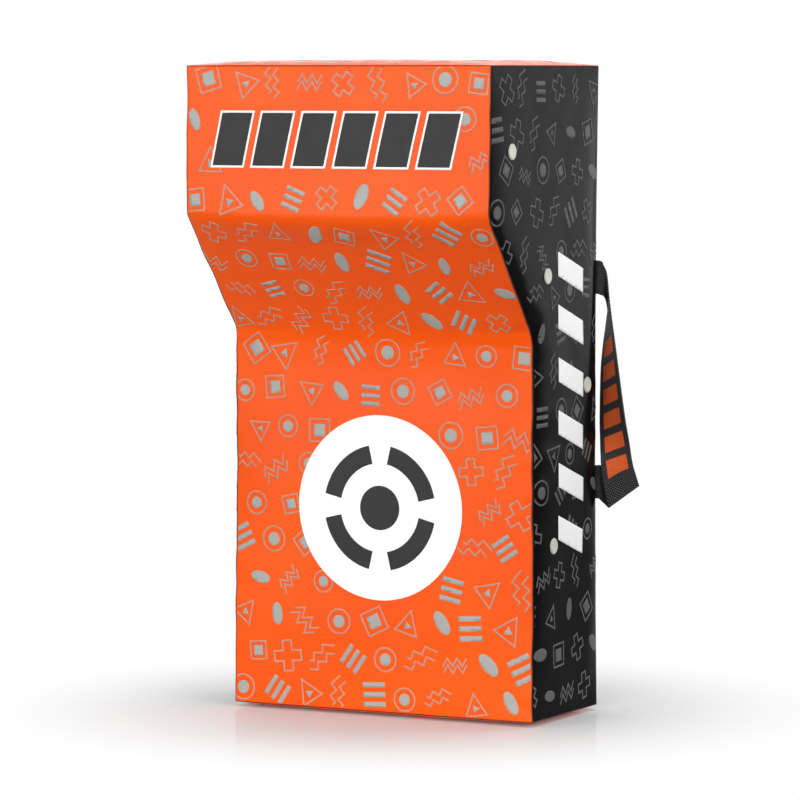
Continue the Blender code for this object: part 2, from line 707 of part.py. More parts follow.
    def build_handle(self, side_name, side):
        """Build one webbing handle: two sewn tabs and the loop that swings on the corner seam."""
        corner = plump(Vector((side * HALF_WIDTH, LOWER_DEPTH, HANDLE_FOOT_HEIGHT + HANDLE_SPAN)))
        pivot = Vector((
            corner.x + side * HANDLE_PIVOT_OUT, corner.y + HANDLE_PIVOT_BEHIND, HANDLE_FOOT_HEIGHT))
        foot_middle = HANDLE_FOOT_HEIGHT + WEBBING_WIDTH / 2
        head_middle = HANDLE_FOOT_HEIGHT + HANDLE_SPAN - WEBBING_WIDTH / 2
        for end_name, height in (("upper", head_middle), ("lower", foot_middle)):
            self.build_tab(f"{side_name}_handle_{end_name}_tab", side, height)
        rulings = self.strap_rulings()

        def place(column, row):
            point = rulings[row][column]
            return Vector((side * point.x, point.y, point.z))

        mesh = sheet_mesh(side_name + "_handle_loop", 2, len(rulings), place, Vector((side, 0.0, 0.0)))
        loop = self.add(side_name + "_handle_loop", mesh, "webbing")
        loop.location = pivot
        add_solidify(loop, WEBBING_THICKNESS, 0.0, even=False)

    def build_tab(self, name, side, middle_height):
        """Build one sewn end of the webbing, flat on the back panel beside the corner."""
        near = side * (HALF_WIDTH + HANDLE_PIVOT_OUT - TAB_SETBACK)
        far = near - side * TAB_LENGTH
        low = middle_height - WEBBING_WIDTH / 2
        high = middle_height + WEBBING_WIDTH / 2
        face = LOWER_DEPTH + SEAT_GAP
        columns = 6

        def place(column, layer, row):
            share = column / columns
            x = mix(min(near, far), max(near, far), share)
            return Vector((x, face + layer * WEBBING_THICKNESS, mix(low, high, row)))

        self.add(name, lattice_mesh(name, columns, 1, 1, place), "webbing")

    def strap_rulings(self):
        """Give the inner and outer edge points of the loop, from its upper to its lower sewn end.

        They are relative to the pivot: x outward, y behind, z up from the lower end.
        """
        pivot = Vector((HANDLE_PIVOT_OUT, HANDLE_PIVOT_BEHIND, 0.0))

        def ruling(station):
            (out, behind, rise), direction = station
            middle = Vector((out * HANDLE_REACH, behind * HANDLE_REACH, rise * HANDLE_SPAN)) - pivot
            half = Vector(direction) * (WEBBING_WIDTH / 2)
            return middle - half, middle + half

        going = [ruling(station) for station in STRAP_STATION_SHARES]
        coming = [ruling(station) for station in STRAP_RETURN_SHARES]
        inner, outer = going[-1]
        fold_axis = (outer - inner).normalized()
        heading = (inner + outer) / 2 - (going[-2][0] + going[-2][1]) / 2
        heading -= fold_axis * heading.dot(fold_axis)
        toward_centre = fold_axis.cross(heading.normalized())
        centre = toward_centre * HANDLE_FOLD_RADIUS
        folded = []
        for step in range(1, FOLD_STEPS + 1):
            turn = Matrix.Rotation(HANDLE_FOLD_ANGLE * step / FOLD_STEPS, 3, fold_axis)
            shift = centre - turn @ centre
            folded.append((inner + shift, outer + shift))
        upper = self.sewn_ruling(going[0], HANDLE_SPAN)
        lower = self.sewn_ruling(coming[-1], WEBBING_WIDTH)
        return [upper] + going + folded + coming + [lower]

    def sewn_ruling(self, neighbour, height):
        """Give the end of the loop next to a ruling, upright and just past the pivot's axis."""
        past = (neighbour[0] + neighbour[1]).to_2d().normalized() * -HANDLE_END_OVERRUN
        return (Vector((past.x, past.y, height - WEBBING_WIDTH)), Vector((past.x, past.y, height)))


def main():
    """Build the shield."""
    clear_scene()
    Shield().build()


main()
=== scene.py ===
"""Visual model of a tackle shield: sewn cover over foam, printed panels, webbing handles, studs and zip.

Metres, +Z up. The striking front faces -Y and the holder stands on the +Y side.
"""

import logging
import math
import random
from bisect import bisect_right
from dataclasses import dataclass, field
from enum import Enum
from functools import partial
from typing import Callable, Sequence

import bmesh
import bpy
from mathutils import Matrix, Vector, noise
from mathutils.geometry import interpolate_bezier


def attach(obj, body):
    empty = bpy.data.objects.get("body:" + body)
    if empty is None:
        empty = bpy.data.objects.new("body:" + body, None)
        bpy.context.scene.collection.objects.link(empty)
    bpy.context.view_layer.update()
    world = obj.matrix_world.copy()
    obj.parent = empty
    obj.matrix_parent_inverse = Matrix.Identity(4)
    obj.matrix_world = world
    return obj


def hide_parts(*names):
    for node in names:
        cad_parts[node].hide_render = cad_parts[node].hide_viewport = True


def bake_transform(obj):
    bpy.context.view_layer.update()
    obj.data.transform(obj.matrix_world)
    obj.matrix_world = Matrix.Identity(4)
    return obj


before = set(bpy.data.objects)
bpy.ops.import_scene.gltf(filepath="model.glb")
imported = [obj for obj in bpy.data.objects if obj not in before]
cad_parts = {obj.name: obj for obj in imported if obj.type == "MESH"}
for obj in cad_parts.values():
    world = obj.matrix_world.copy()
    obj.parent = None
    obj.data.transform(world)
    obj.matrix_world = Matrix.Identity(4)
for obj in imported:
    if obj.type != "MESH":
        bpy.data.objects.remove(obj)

logging.basicConfig(level=logging.INFO, format="%(message)s")
LOG = logging.getLogger("tackle_shield")

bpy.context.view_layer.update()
STRAP_MAP = "strap_map"
WHITE = (1.0, 1.0, 1.0, 1.0)

Colour = tuple[int, int, int]
Spot = tuple[float, float]
Place = tuple[float, float, float]
Ruling = tuple[Vector, Vector]
Socket = bpy.types.NodeSocket


def srgb(red: int, green: int, blue: int) -> tuple[float, float, float, float]:
    """Turn a display colour into the linear colour of a shader socket.

    Args:
        red: Red from 0 to 255.
        green: Green from 0 to 255.
        blue: Blue from 0 to 255.

    Returns:
        The linear colour with an alpha of one.
    """
    def linear(level: int) -> float:
        """Undo the display curve of one level."""
        share = level / 255
        return share / 12.92 if share <= 0.04045 else ((share + 0.055) / 1.055) ** 2.4

    return (linear(red), linear(green), linear(blue), 1.0)


def smooth_step(value: float) -> float:
    """Ease a value from 0 to 1."""
    share = max(0.0, min(1.0, value))
    return share * share * (3 - 2 * share)


def mix(low: float, high: float, share: float) -> float:
    """Give the value at a share of the way between two values."""
    return low + (high - low) * share


def unit(axis: int) -> Vector:
    """Give the direction of an axis."""
    return Vector([float(number == axis) for number in range(3)])


class Body(Enum):
    """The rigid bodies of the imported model."""

    SHIELD = "body"
    RIGHT_HANDLE = "right_handle"
    LEFT_HANDLE = "left_handle"
    SLIDER = "slider"
    PULL = "pull"


class Side(Enum):
    """The two sides of the shield, by the sign of X."""

    LEFT = -1
    RIGHT = 1

    @property
    def label(self) -> str:
        """The side's name in piece names."""
        return self.name.lower()

    @property
    def handle_body(self) -> Body:
        """The body that this side's handle swings with."""
        return Body.RIGHT_HANDLE if self is Side.RIGHT else Body.LEFT_HANDLE

    def span(self, near: float, far: float) -> Spot:
        """Give the lower and upper X of a run between two distances on this side."""
        return tuple(sorted((self.value * near, self.value * far)))


# ---- Finishes ----


class NodeSheet:
    """A thin helper for adding and joining nodes in one node tree."""

    def __init__(self, tree: bpy.types.NodeTree) -> None:
        """Keep the tree that nodes are added to."""
        self.tree = tree

    def fill(self, socket: Socket, value: object) -> None:
        """Link another socket into an input, or set the input's own value."""
        if isinstance(value, Socket):
            self.tree.links.new(value, socket)
        else:
            socket.default_value = value

    def add(self, kind: str, inputs: dict | None = None, **settings: object) -> bpy.types.Node:
        """Add a node.

        Args:
            kind: The node's type name.
            inputs: Sockets or values by the input's name or number.
            **settings: Properties of the node.

        Returns:
            The new node.
        """
        node = self.tree.nodes.new(kind)
        for key, value in settings.items():
            setattr(node, key, value)
        for key, value in (inputs or {}).items():
            self.fill(node.inputs[key], value)
        return node

    def place(self) -> Socket:
        """Give the Object coordinates."""
        return self.add("ShaderNodeTexCoord").outputs["Object"]

    def split(self, vector: Socket) -> bpy.types.NodeOutputs:
        """Give the outputs X, Y and Z of a vector."""
        return self.add("ShaderNodeSeparateXYZ", {0: vector}).outputs

    def math(self, operation: str, *parts: object) -> Socket:
        """Add a Math node on sockets or numbers."""
        return self.add("ShaderNodeMath", dict(enumerate(parts)), operation=operation).outputs[0]

    def blend(self, factor: object, low: object, high: object) -> Socket:
        """Blend two colours, each given as a socket or a value."""
        return self.add("ShaderNodeMix", {0: factor, 6: low, 7: high}, data_type="RGBA").outputs[2]

    def spread(self, value: Socket, low: float, high: float) -> Socket:
        """Map a value from between 0 and 1 to between two levels."""
        return self.add("ShaderNodeMapRange", {"Value": value, "To Min": low, "To Max": high}).outputs["Result"]

    def ramp(self, value: Socket, low: float, high: float) -> Socket:
        """Ease a value from between two levels to between 0 and 1."""
        inputs = {"Value": value, "From Min": low, "From Max": high}
        return self.add("ShaderNodeMapRange", inputs, interpolation_type="SMOOTHSTEP").outputs["Result"]

    def bump(self, height: Socket, depth: float) -> Socket:
        """Give the normal of a surface raised by a height."""
        return self.add("ShaderNodeBump", {"Height": height, "Distance": depth}).outputs["Normal"]

    def pattern(self, group: bpy.types.NodeTree, inputs: dict) -> bpy.types.NodeOutputs:
        """Use a shared group and give its outputs."""
        return self.add("ShaderNodeGroup", inputs, node_tree=group).outputs


def start_group(name: str, levels: dict[str, float],
                results: Sequence[str]) -> tuple[NodeSheet, bpy.types.NodeOutputs, bpy.types.NodeInputs]:
    """Start a node group that reads a vector and some levels, and gives values.

    Args:
        name: The group's name.
        levels: The default of each level that it reads.
        results: The names of the values that it gives.

    Returns:
        Its sheet, the sockets that it is given and the sockets that it has to fill.
    """
    tree = bpy.data.node_groups.new(name, "ShaderNodeTree")
    tree.interface.new_socket(name="Vector", in_out="INPUT", socket_type="NodeSocketVector")
    for label, value in levels.items():
        socket = tree.interface.new_socket(name=label, in_out="INPUT", socket_type="NodeSocketFloat")
        socket.default_value = value
    for label in results:
        tree.interface.new_socket(name=label, in_out="OUTPUT", socket_type="NodeSocketFloat")
    sheet = NodeSheet(tree)
    return sheet, sheet.add("NodeGroupInput").outputs, sheet.add("NodeGroupOutput").inputs


class SharedPatterns:
    """The node groups that more than one finish uses, each built once."""

    def __init__(self) -> None:
        """Build the groups."""
        self.coated_weave = self.build_coated_weave()
        self.mottle = self.build_mottle()

    def build_coated_weave(self) -> bpy.types.NodeTree:
        """Build the grain of coated fabric: two crossing yarns under a soft skin.

        Returns:
            A group that gives a height and a mask of the yarn gaps.
        """
        levels = {"Yarns per metre": 900.0, "Unevenness": 0.35}
        sheet, given, wanted = start_group("coated_weave", levels, ("Height", "Gaps"))
        split = sheet.split(given["Vector"])
        across = sheet.math("ADD", split["X"], split["Y"])
        turns = sheet.math("MULTIPLY", given["Yarns per metre"], math.tau)
        warp = sheet.math("SINE", sheet.math("MULTIPLY", across, turns))
        weft = sheet.math("SINE", sheet.math("MULTIPLY", split["Z"], turns))
        crossing = sheet.math("MULTIPLY", warp, weft)
        grit = sheet.add("ShaderNodeTexNoise", {"Vector": given["Vector"], "Scale": 1400.0, "Detail": 3.0})
        rough = sheet.math("MULTIPLY", grit.outputs["Fac"], given["Unevenness"])
        sheet.fill(wanted["Height"], sheet.math("ADD", sheet.math("MULTIPLY", crossing, 0.5), rough))
        sheet.fill(wanted["Gaps"], sheet.math("MULTIPLY", sheet.math("SUBTRACT", 1.0, crossing), 0.5))
        return sheet.tree

    def build_mottle(self) -> bpy.types.NodeTree:
        """Build broad uneven tone, as handling and rolled fabric leave it.

        Returns:
            A group that gives a broad mask and a fine mask.
        """
        levels = {"Broad scale": 7.0, "Fine scale": 160.0}
        sheet, given, wanted = start_group("mottle", levels, ("Broad", "Fine"))
        for label, detail in (("Broad", 2.0), ("Fine", 4.0)):
            inputs = {"Vector": given["Vector"], "Scale": given[label + " scale"], "Detail": detail}
            texture = sheet.add("ShaderNodeTexNoise", inputs)
            sheet.fill(wanted[label], sheet.ramp(texture.outputs["Fac"], 0.25, 0.75))
        return sheet.tree


@dataclass(frozen=True)
class CoatedFabricFinish:
    """Coated woven fabric of the cover, and the ink printed on it."""

    name: str
    deep: Colour
    hazed: Colour
    roughness_low: float
    roughness_high: float
    weave_depth: float = 0.00006
    yarns_per_metre: float = 900.0
    specular: float = 0.5
    mottle_share: float = 0.35

    def dress(self, sheet: NodeSheet, patterns: SharedPatterns) -> dict[str, object]:
        """Build the finish's nodes.

        Args:
            sheet: The material's nodes.
            patterns: The shared node groups.

        Returns:
            What goes into the shader's inputs.
        """
        place = sheet.place()
        mottle = sheet.pattern(patterns.mottle, {"Vector": place})
        weave = sheet.pattern(patterns.coated_weave, {"Vector": place, "Yarns per metre": self.yarns_per_metre})
        tone = sheet.math("ADD", sheet.math("MULTIPLY", mottle["Broad"], self.mottle_share),
                          sheet.math("MULTIPLY", weave["Gaps"], 1 - self.mottle_share))
        return {
            "Base Color": sheet.blend(tone, srgb(*self.deep), srgb(*self.hazed)),
            "Roughness": sheet.spread(mottle["Fine"], self.roughness_low, self.roughness_high),
            "Normal": sheet.bump(weave["Height"], self.weave_depth),
            "Specular IOR Level": self.specular,
        }


@dataclass(frozen=True)
class WebbingFinish:
    """Woven strap: ribs across its width, read from the strap's own UV map in metres; its colour paints a highlight
    on the rib crowns and shade between the ribs.
    """

    name: str
    # The colour of the rib crowns, lightened as a painted highlight, and the colour between the ribs, darkened as
    # painted shade.
    thread: Colour
    gap: Colour
    rib_pitch: float = 0.0021
    rib_depth: float = 0.00035
    roughness: float = 0.62
    specular: float = 0.3
    ink: Colour | None = None
    ink_shade: float = 0.84
    # How tight and how strong the painted highlight on the rib crowns is.
    crown_power: float = 7.0
    crown_share: float = 0.95
    fuzz_share: float = 0.06
    fuzz_scale: float = 900.0
    print_start: float = 0.146
    print_pitch: float = 0.0285
    print_count: float = 6.0
    print_bar_share: float = 0.66
    print_slant: float = 0.35
    print_margin: float = 0.0065
    strap_width: float = 0.040

    def dress(self, sheet: NodeSheet, patterns: SharedPatterns) -> dict[str, object]:
        """Build the finish's nodes.

        Args:
            sheet: The material's nodes.
            patterns: The shared node groups.

        Returns:
            What goes into the shader's inputs.
        """
        chart = sheet.add("ShaderNodeUVMap", uv_map=STRAP_MAP).outputs["UV"]
        split = sheet.split(chart)
        turns = math.tau / self.rib_pitch
        along = sheet.math("SINE", sheet.math("MULTIPLY", split["Y"], turns))
        across = sheet.math("SINE", sheet.math("MULTIPLY", split["X"], turns))
        knots = sheet.math("MULTIPLY", along, across)
        share = sheet.math("MULTIPLY", sheet.math("ADD", knots, 1.0), 0.5)
        mottle = sheet.pattern(patterns.mottle, {"Vector": sheet.place(), "Fine scale": self.fuzz_scale})
        fuzz = sheet.math("MULTIPLY", mottle["Fine"], self.fuzz_share)
        # Painted highlight and shade: this mask lifts the colour from the near-black between the ribs to the light
        # crown colour on the knot tops.
        crown_highlight_mask = sheet.math("MULTIPLY", sheet.math("POWER", share, self.crown_power), self.crown_share)
        tone = sheet.math("ADD", crown_highlight_mask, fuzz)
        colour = sheet.blend(tone, srgb(*self.gap), srgb(*self.thread))
        if self.ink is not None:
            # The ink too is painted full on the lit crowns and darker, as shade, between the ribs.
            shaded = tuple(round(level * self.ink_shade) for level in self.ink)
            inked = sheet.blend(tone, srgb(*shaded), srgb(*self.ink))
            colour = sheet.blend(self.print_mask(sheet, split["X"], split["Y"]), colour, inked)
        return {
            "Base Color": colour,
            "Roughness": self.roughness,
            "Normal": sheet.bump(sheet.math("ADD", share, fuzz), self.rib_depth),
            "Specular IOR Level": self.specular,
        }

    def print_mask(self, sheet: NodeSheet, across: Socket,
                   along: Socket) -> Socket:
        """Build the mask of the slanted bars printed on the strap.

        Args:
            sheet: The material's nodes.
            across: The strap's measure across its width.
            along: The strap's measure along its length.

        Returns:
            A socket that is one on the bars and zero elsewhere.
        """
        slanted = sheet.math("ADD", along, sheet.math("MULTIPLY", across, self.print_slant))
        counted = sheet.math("DIVIDE", sheet.math("SUBTRACT", slanted, self.print_start), self.print_pitch)
        mask = sheet.math("LESS_THAN", sheet.math("FRACT", counted), self.print_bar_share)
        for test, value, limit in (
            ("GREATER_THAN", counted, 0.0), ("LESS_THAN", counted, self.print_count),
            ("GREATER_THAN", across, self.print_margin),
            ("LESS_THAN", across, self.strap_width - self.print_margin),
        ):
            mask = sheet.math("MULTIPLY", mask, sheet.math(test, value, limit))
        return mask


@dataclass(frozen=True)
class MouldedFinish:
    """Moulded plastic or plated metal of the small fittings, with fine wear."""

    name: str
    clean: Colour
    worn: Colour
    roughness_low: float
    roughness_high: float
    metallic: float = 0.0
    grain_depth: float = 0.00004
    broad_scale: float = 60.0
    fine_scale: float = 700.0

    def dress(self, sheet: NodeSheet, patterns: SharedPatterns) -> dict[str, object]:
        """Build the finish's nodes.

        Args:
            sheet: The material's nodes.
            patterns: The shared node groups.

        Returns:
            What goes into the shader's inputs.
        """
        mottle = sheet.pattern(patterns.mottle, {"Vector": sheet.place(), "Broad scale": self.broad_scale,
                                                 "Fine scale": self.fine_scale})
        return {
            "Base Color": sheet.blend(mottle["Broad"], srgb(*self.clean), srgb(*self.worn)),
            "Roughness": sheet.spread(mottle["Fine"], self.roughness_low, self.roughness_high),
            "Normal": sheet.bump(mottle["Fine"], self.grain_depth),
            "Metallic": self.metallic,
        }


@dataclass(frozen=True)
class FoamFinish:
    """Open-cell foam inside the cover."""

    name: str
    light: Colour
    dark: Colour
    cell_scale: float = 900.0
    cell_depth: float = 0.0004
    roughness: float = 0.95

    def dress(self, sheet: NodeSheet, patterns: SharedPatterns) -> dict[str, object]:
        """Build the finish's nodes.

        Args:
            sheet: The material's nodes.
            patterns: The shared node groups.

        Returns:
            What goes into the shader's inputs.
        """
        place = sheet.place()
        cells = sheet.add("ShaderNodeTexVoronoi", {"Vector": place, "Scale": self.cell_scale}).outputs["Distance"]
        mottle = sheet.pattern(patterns.mottle, {"Vector": place})
        tone = sheet.math("MULTIPLY", sheet.math("ADD", cells, mottle["Broad"]), 0.5)
        return {
            "Base Color": sheet.blend(tone, srgb(*self.light), srgb(*self.dark)),
            "Roughness": self.roughness,
            "Normal": sheet.bump(cells, self.cell_depth),
        }


def start_material(name: str) -> tuple[bpy.types.Material, NodeSheet, bpy.types.Node]:
    """Start a material and give it with its sheet and its shader."""
    material = bpy.data.materials.new(name)
    material.use_nodes = True
    return material, NodeSheet(material.node_tree), material.node_tree.nodes["Principled BSDF"]


class Palette:
    """Every finish of the shield, built once and found by name."""

    FINISHES = (
        CoatedFabricFinish("orange_coated_fabric", (238, 74, 0), (253, 97, 4), 0.27, 0.35, specular=0.15,
                           weave_depth=0.00009, yarns_per_metre=360.0),
        CoatedFabricFinish("black_coated_fabric", (12, 12, 13), (20, 20, 21), 0.11, 0.16, specular=0.01,
                           weave_depth=0.000025, yarns_per_metre=360.0),
        CoatedFabricFinish("black_back_fabric", (32, 32, 33), (43, 43, 44), 0.40, 0.52, specular=0.3,
                           weave_depth=0.0001, yarns_per_metre=360.0),
        CoatedFabricFinish("charcoal_ink", (40, 40, 42), (50, 50, 51), 0.42, 0.52, specular=0.15),
        CoatedFabricFinish("white_ink", (246, 246, 246), (252, 252, 252), 0.38, 0.46),
        CoatedFabricFinish("grey_ink", (150, 152, 148), (166, 166, 160), 0.42, 0.52),
        CoatedFabricFinish("line_ink", (186, 134, 112), (196, 144, 122), 0.42, 0.52),
        CoatedFabricFinish("slate_ink", (92, 92, 90), (104, 104, 102), 0.11, 0.16, specular=0.01,
                           weave_depth=0.00002),
        # The dark red-brown of the seam ridges is painted shade of the seams' grooves, not thread.
        CoatedFabricFinish("seam_groove_painted_shade", (66, 24, 12), (84, 34, 18), 0.7, 0.8),
        CoatedFabricFinish("seam_thread_black", (12, 12, 12), (20, 20, 20), 0.6, 0.7),
        CoatedFabricFinish("stitch_thread", (44, 44, 46), (60, 60, 62), 0.6, 0.7, yarns_per_metre=2400.0),
        # The lighter crown colours and near-black gap colours of the webbing and zip tape are painted highlight and
        # painted shade of the weave.
        WebbingFinish("black_webbing", (138, 138, 138), (3, 3, 3), rib_pitch=0.0034, ink=(255, 110, 50),
                      specular=0.12),
        WebbingFinish("zip_tape_weave", (24, 24, 25), (9, 9, 9), rib_pitch=0.0009, rib_depth=0.0001),
        MouldedFinish("stud_plastic", (193, 192, 180), (184, 183, 170), 0.32, 0.44),
        MouldedFinish("zip_tooth_plastic", (30, 30, 31), (38, 38, 39), 0.30, 0.42),
        MouldedFinish("zip_metal_plate", (150, 150, 152), (128, 128, 130), 0.22, 0.36, metallic=1.0),
        FoamFinish("cream_foam", (222, 214, 192), (196, 186, 160)),
        FoamFinish("grey_board_foam", (120, 122, 126), (92, 94, 98), 1300.0),
    )

    def __init__(self) -> None:
        """Build every finish."""
        patterns = SharedPatterns()
        self.materials = {}
        for finish in self.FINISHES:
            material, sheet, shader = start_material(finish.name)
            for key, value in finish.dress(sheet, patterns).items():
                sheet.fill(shader.inputs[key], value)
            self.materials[finish.name] = material


# ---- Making pieces ----


@dataclass
class Workshop:
    """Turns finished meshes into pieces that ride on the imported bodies."""

    palette: Palette = field(default_factory=Palette)

    def piece(self, name: str, shape: bmesh.types.BMesh, finish: str, slot: str, body: Body | None,
              smooth_angle: float = 40.0) -> bpy.types.Object:
        """Make a piece of a bmesh.

        Args:
            name: The piece's name.
            shape: Its mesh, which is used up.
            finish: The name of its finish.
            slot: The record's material slot; it is not used.
            body: The body that it rides on, or nothing to leave it on no body.
            smooth_angle: Edges sharper than this stay sharp, in degrees.

        Returns:
            The piece.
        """
        mesh = bpy.data.meshes.new(name)
        shape.to_mesh(mesh)
        shape.free()
        mesh.shade_smooth()
        mesh.set_sharp_from_angle(angle=math.radians(smooth_angle))
        piece = bpy.data.objects.new(name, mesh)
        bpy.context.scene.collection.objects.link(piece)
        mesh.materials.append(self.palette.materials[finish])
        if body is not None:
            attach(piece, body.value)
        LOG.info("%-28s %6d faces, %s", name, len(mesh.polygons), finish)
        return piece

    def thicken(self, piece: bpy.types.Object, thickness: float, offset: float) -> None:
        """Give a sheet its thickness.

        Args:
            piece: The sheet.
            thickness: The thickness in metres.
            offset: -1 for a wall behind the faces, 1 for one in front, 0 for both.
        """
        wall = piece.modifiers.new("thickness", "SOLIDIFY")
        wall.thickness = thickness
        wall.offset = offset


# ---- The body's form ----


@dataclass(frozen=True)
class BodyForm:
    """The stepped box from seam to seam, and how the foam fills it out."""

    width: float = 0.400
    height: float = 0.766
    lower_depth: float = 0.177
    bump_top_depth: float = 0.111
    bump_lip_depth: float = 0.116
    slope_foot_height: float = 0.451
    slope_head_height: float = 0.591
    slope_foot_radius: float = 0.045
    slope_head_radius: float = 0.022
    fillet_steps: int = 16
    line_step: float = 0.002
    front_crown: float = 0.003
    side_crown: float = 0.004
    top_crown: float = 0.006
    base_bulge: float = 0.0055
    seam_lift: float = 0.005
    corner_draw: float = 0.0025
    origin_depth: float = 0.049375
    seam_wander: float = 0.0013
    wander_scale: float = 32.0
    wander_ratio: float = 0.7
    wander_reach: float = 0.5
    wander_corner: float = 0.15

    @property
    def half_width(self) -> float:
        """Half of the width."""
        return self.width / 2

    def outline(self) -> list[Vector]:
        """Give the corners (y, z) of the front line, from the bottom up."""
        return [Vector((0.0, 0.0)), Vector((0.0, self.slope_foot_height)),
                Vector((-self.bump_lip_depth, self.slope_head_height)),
                Vector((-self.bump_top_depth, self.height))]

    def fillet(self, before: Vector, corner: Vector, after: Vector, radius: float) -> list[Vector]:
        """Round a corner of the front line.

        Args:
            before: The corner before it.
            corner: The corner.
            after: The corner after it.
            radius: The rounding's radius.

        Returns:
            Points on the arc.
        """
        back, ahead = (before - corner).normalized(), (after - corner).normalized()
        half_angle = back.angle(ahead) / 2
        centre = corner + (back + ahead).normalized() * (radius / math.sin(half_angle))
        spoke = corner + back * (radius / math.tan(half_angle)) - centre
        turn = math.copysign(math.pi - 2 * half_angle, back.angle_signed(ahead))
        return [centre + Matrix.Rotation(turn * step / self.fillet_steps, 2) @ spoke
                for step in range(self.fillet_steps + 1)]

    def front_line(self) -> list[Vector]:
        """Give finely spaced points (y, z) along the rounded front line.

        Returns:
            The points from the bottom up.
        """
        foot, slope_foot, slope_head, head = self.outline()
        line = [foot, *self.fillet(foot, slope_foot, slope_head, self.slope_foot_radius),
                *self.fillet(slope_foot, slope_head, head, self.slope_head_radius), head]
        fine = [line[0]]
        for start, end in zip(line, line[1:]):
            pieces = max(1, round((end - start).length / self.line_step))
            fine += [start.lerp(end, step / pieces) for step in range(1, pieces + 1)]
        return fine

    def front_depth(self, height: float) -> float:
        """Give y of the sharp-cornered front line at a height.

        Args:
            height: The height above the bottom seam.

        Returns:
            The depth.
        """
        corners = self.outline()
        for low, high in zip(corners, corners[1:]):
            if height <= high.y:
                share = max(0.0, (height - low.y) / (high.y - low.y))
                return mix(low.x, high.x, share)
        return corners[-1].x

    def plump(self, point: Vector) -> Vector:
        """Move a point of the plain stepped box to its place in the filled cover.

        Args:
            point: The point on the plain box.

        Returns:
            Its place in the shared frame.
        """
        x, y, z = point
        front = self.front_depth(z)
        across_share = max(-1.0, min(1.0, x / self.half_width))
        rear_share = max(0.0, min(1.0, (y - front) / (self.lower_depth - front)))
        rise_share = max(0.0, min(1.0, z / self.height))
        depth_share = 2 * rear_share - 1
        height_share = 2 * rise_share - 1
        across = 1 - abs(across_share) ** 4
        through = 1 - abs(depth_share) ** 8
        up = 1 - abs(height_share) ** 4
        end_swell = (1 - abs(across_share) ** 6) * (1 - abs(depth_share) ** 6)
        draw = self.corner_draw * (1 - height_share ** 2)
        moved_x = x + across_share * (self.side_crown * up * through - draw * (1 - through))
        forward = self.front_crown * up * across - draw * (1 - across)
        moved_y = y - (1 - rear_share) * forward - rear_share * draw * (1 - across)
        drop = min(self.base_bulge * end_swell, self.seam_lift)
        moved_z = z + rise_share * self.top_crown * end_swell - (1 - rise_share) * drop
        return Vector((moved_x, moved_y - self.origin_depth, moved_z + self.seam_lift))

    def settle(self, point: Vector) -> Vector:
        """Plump a point and let the front seams wander as sewn seams do.

        Args:
            point: The point on the plain box.

        Returns:
            Its place in the shared frame.
        """
        x, y, z = point
        front = self.front_depth(z)
        depth = (y - front) / (self.lower_depth - front)
        near_front = 1 - smooth_step(depth / self.wander_reach)
        corner = self.wander_corner
        near_side = smooth_step((abs(x) / self.half_width - (1 - corner)) / corner)
        spot = Vector((x, 0.0, z)) * self.wander_scale
        other = noise.noise(spot + Vector((0.0, 7.0, 0.0)))
        shift = Vector((noise.noise(spot), self.wander_ratio * other, 0.0))
        return self.plump(point) + shift * (self.seam_wander * near_front * near_side)


@dataclass(frozen=True)
class SeamEdge:
    """How a panel's cut edge rolls into the seam."""

    roll_radius: float = 0.0026
    roll_share: float = 0.574
    pucker_height: float = 0.0006
    pucker_reach: float = 0.016
    pucker_pitch: float = 0.013
    pucker_start: float = 0.003
    ripple_height: float = 0.0010
    ripple_scale: float = 9.0
    ripple_reach: float = 0.035
    near_steps: tuple[float, ...] = (0.0, 0.0005, 0.0011, 0.0019)
    next_steps: tuple[float, ...] = (0.0045, 0.0075, 0.012)

    @property
    def margin(self) -> float:
        """How far the panel's edge stays from the sharp corner, along the face."""
        return self.roll_radius * (1 - self.roll_share)

    def drop(self, distance: float) -> float:
        """Give how deep the rolled edge lies at a distance from the sharp corner."""
        if distance >= self.roll_radius:
            return 0.0
        lean = self.roll_radius - max(distance, self.margin)
        return self.roll_radius - math.sqrt(self.roll_radius ** 2 - lean ** 2)

    def lift(self, place: Vector, distance: float) -> float:
        """Give the height of the fabric's ripples and puckers at a place.

        Args:
            place: The place on the plain box.
            distance: The distance from the nearest seam.

        Returns:
            The height along the outward normal.
        """
        broad = noise.noise(place * self.ripple_scale) + 0.4 * noise.noise(place * self.ripple_scale * 2.7)
        swell = self.ripple_height * broad * smooth_step(distance / self.ripple_reach)
        wave = noise.noise(place / self.pucker_pitch)
        near = math.exp(-distance / self.pucker_reach) * smooth_step(distance / self.pucker_start)
        return swell + self.pucker_height * wave * near

    def levels(self, low: float, high: float, step: float) -> list[float]:
        """Divide a run from seam to seam, finely near its two ends.

        Args:
            low: The run's start.
            high: The run's end.
            step: The greatest step in the middle.

        Returns:
            The levels in rising order.
        """
        near = [self.margin + item for item in self.near_steps] + list(self.next_steps)
        inner_low, inner_high = low + near[-1], high - near[-1]
        count = max(1, math.ceil((inner_high - inner_low) / step))
        middle = [mix(inner_low, inner_high, number / count) for number in range(1, count)]
        return [low + item for item in near] + middle + [high - item for item in reversed(near)]


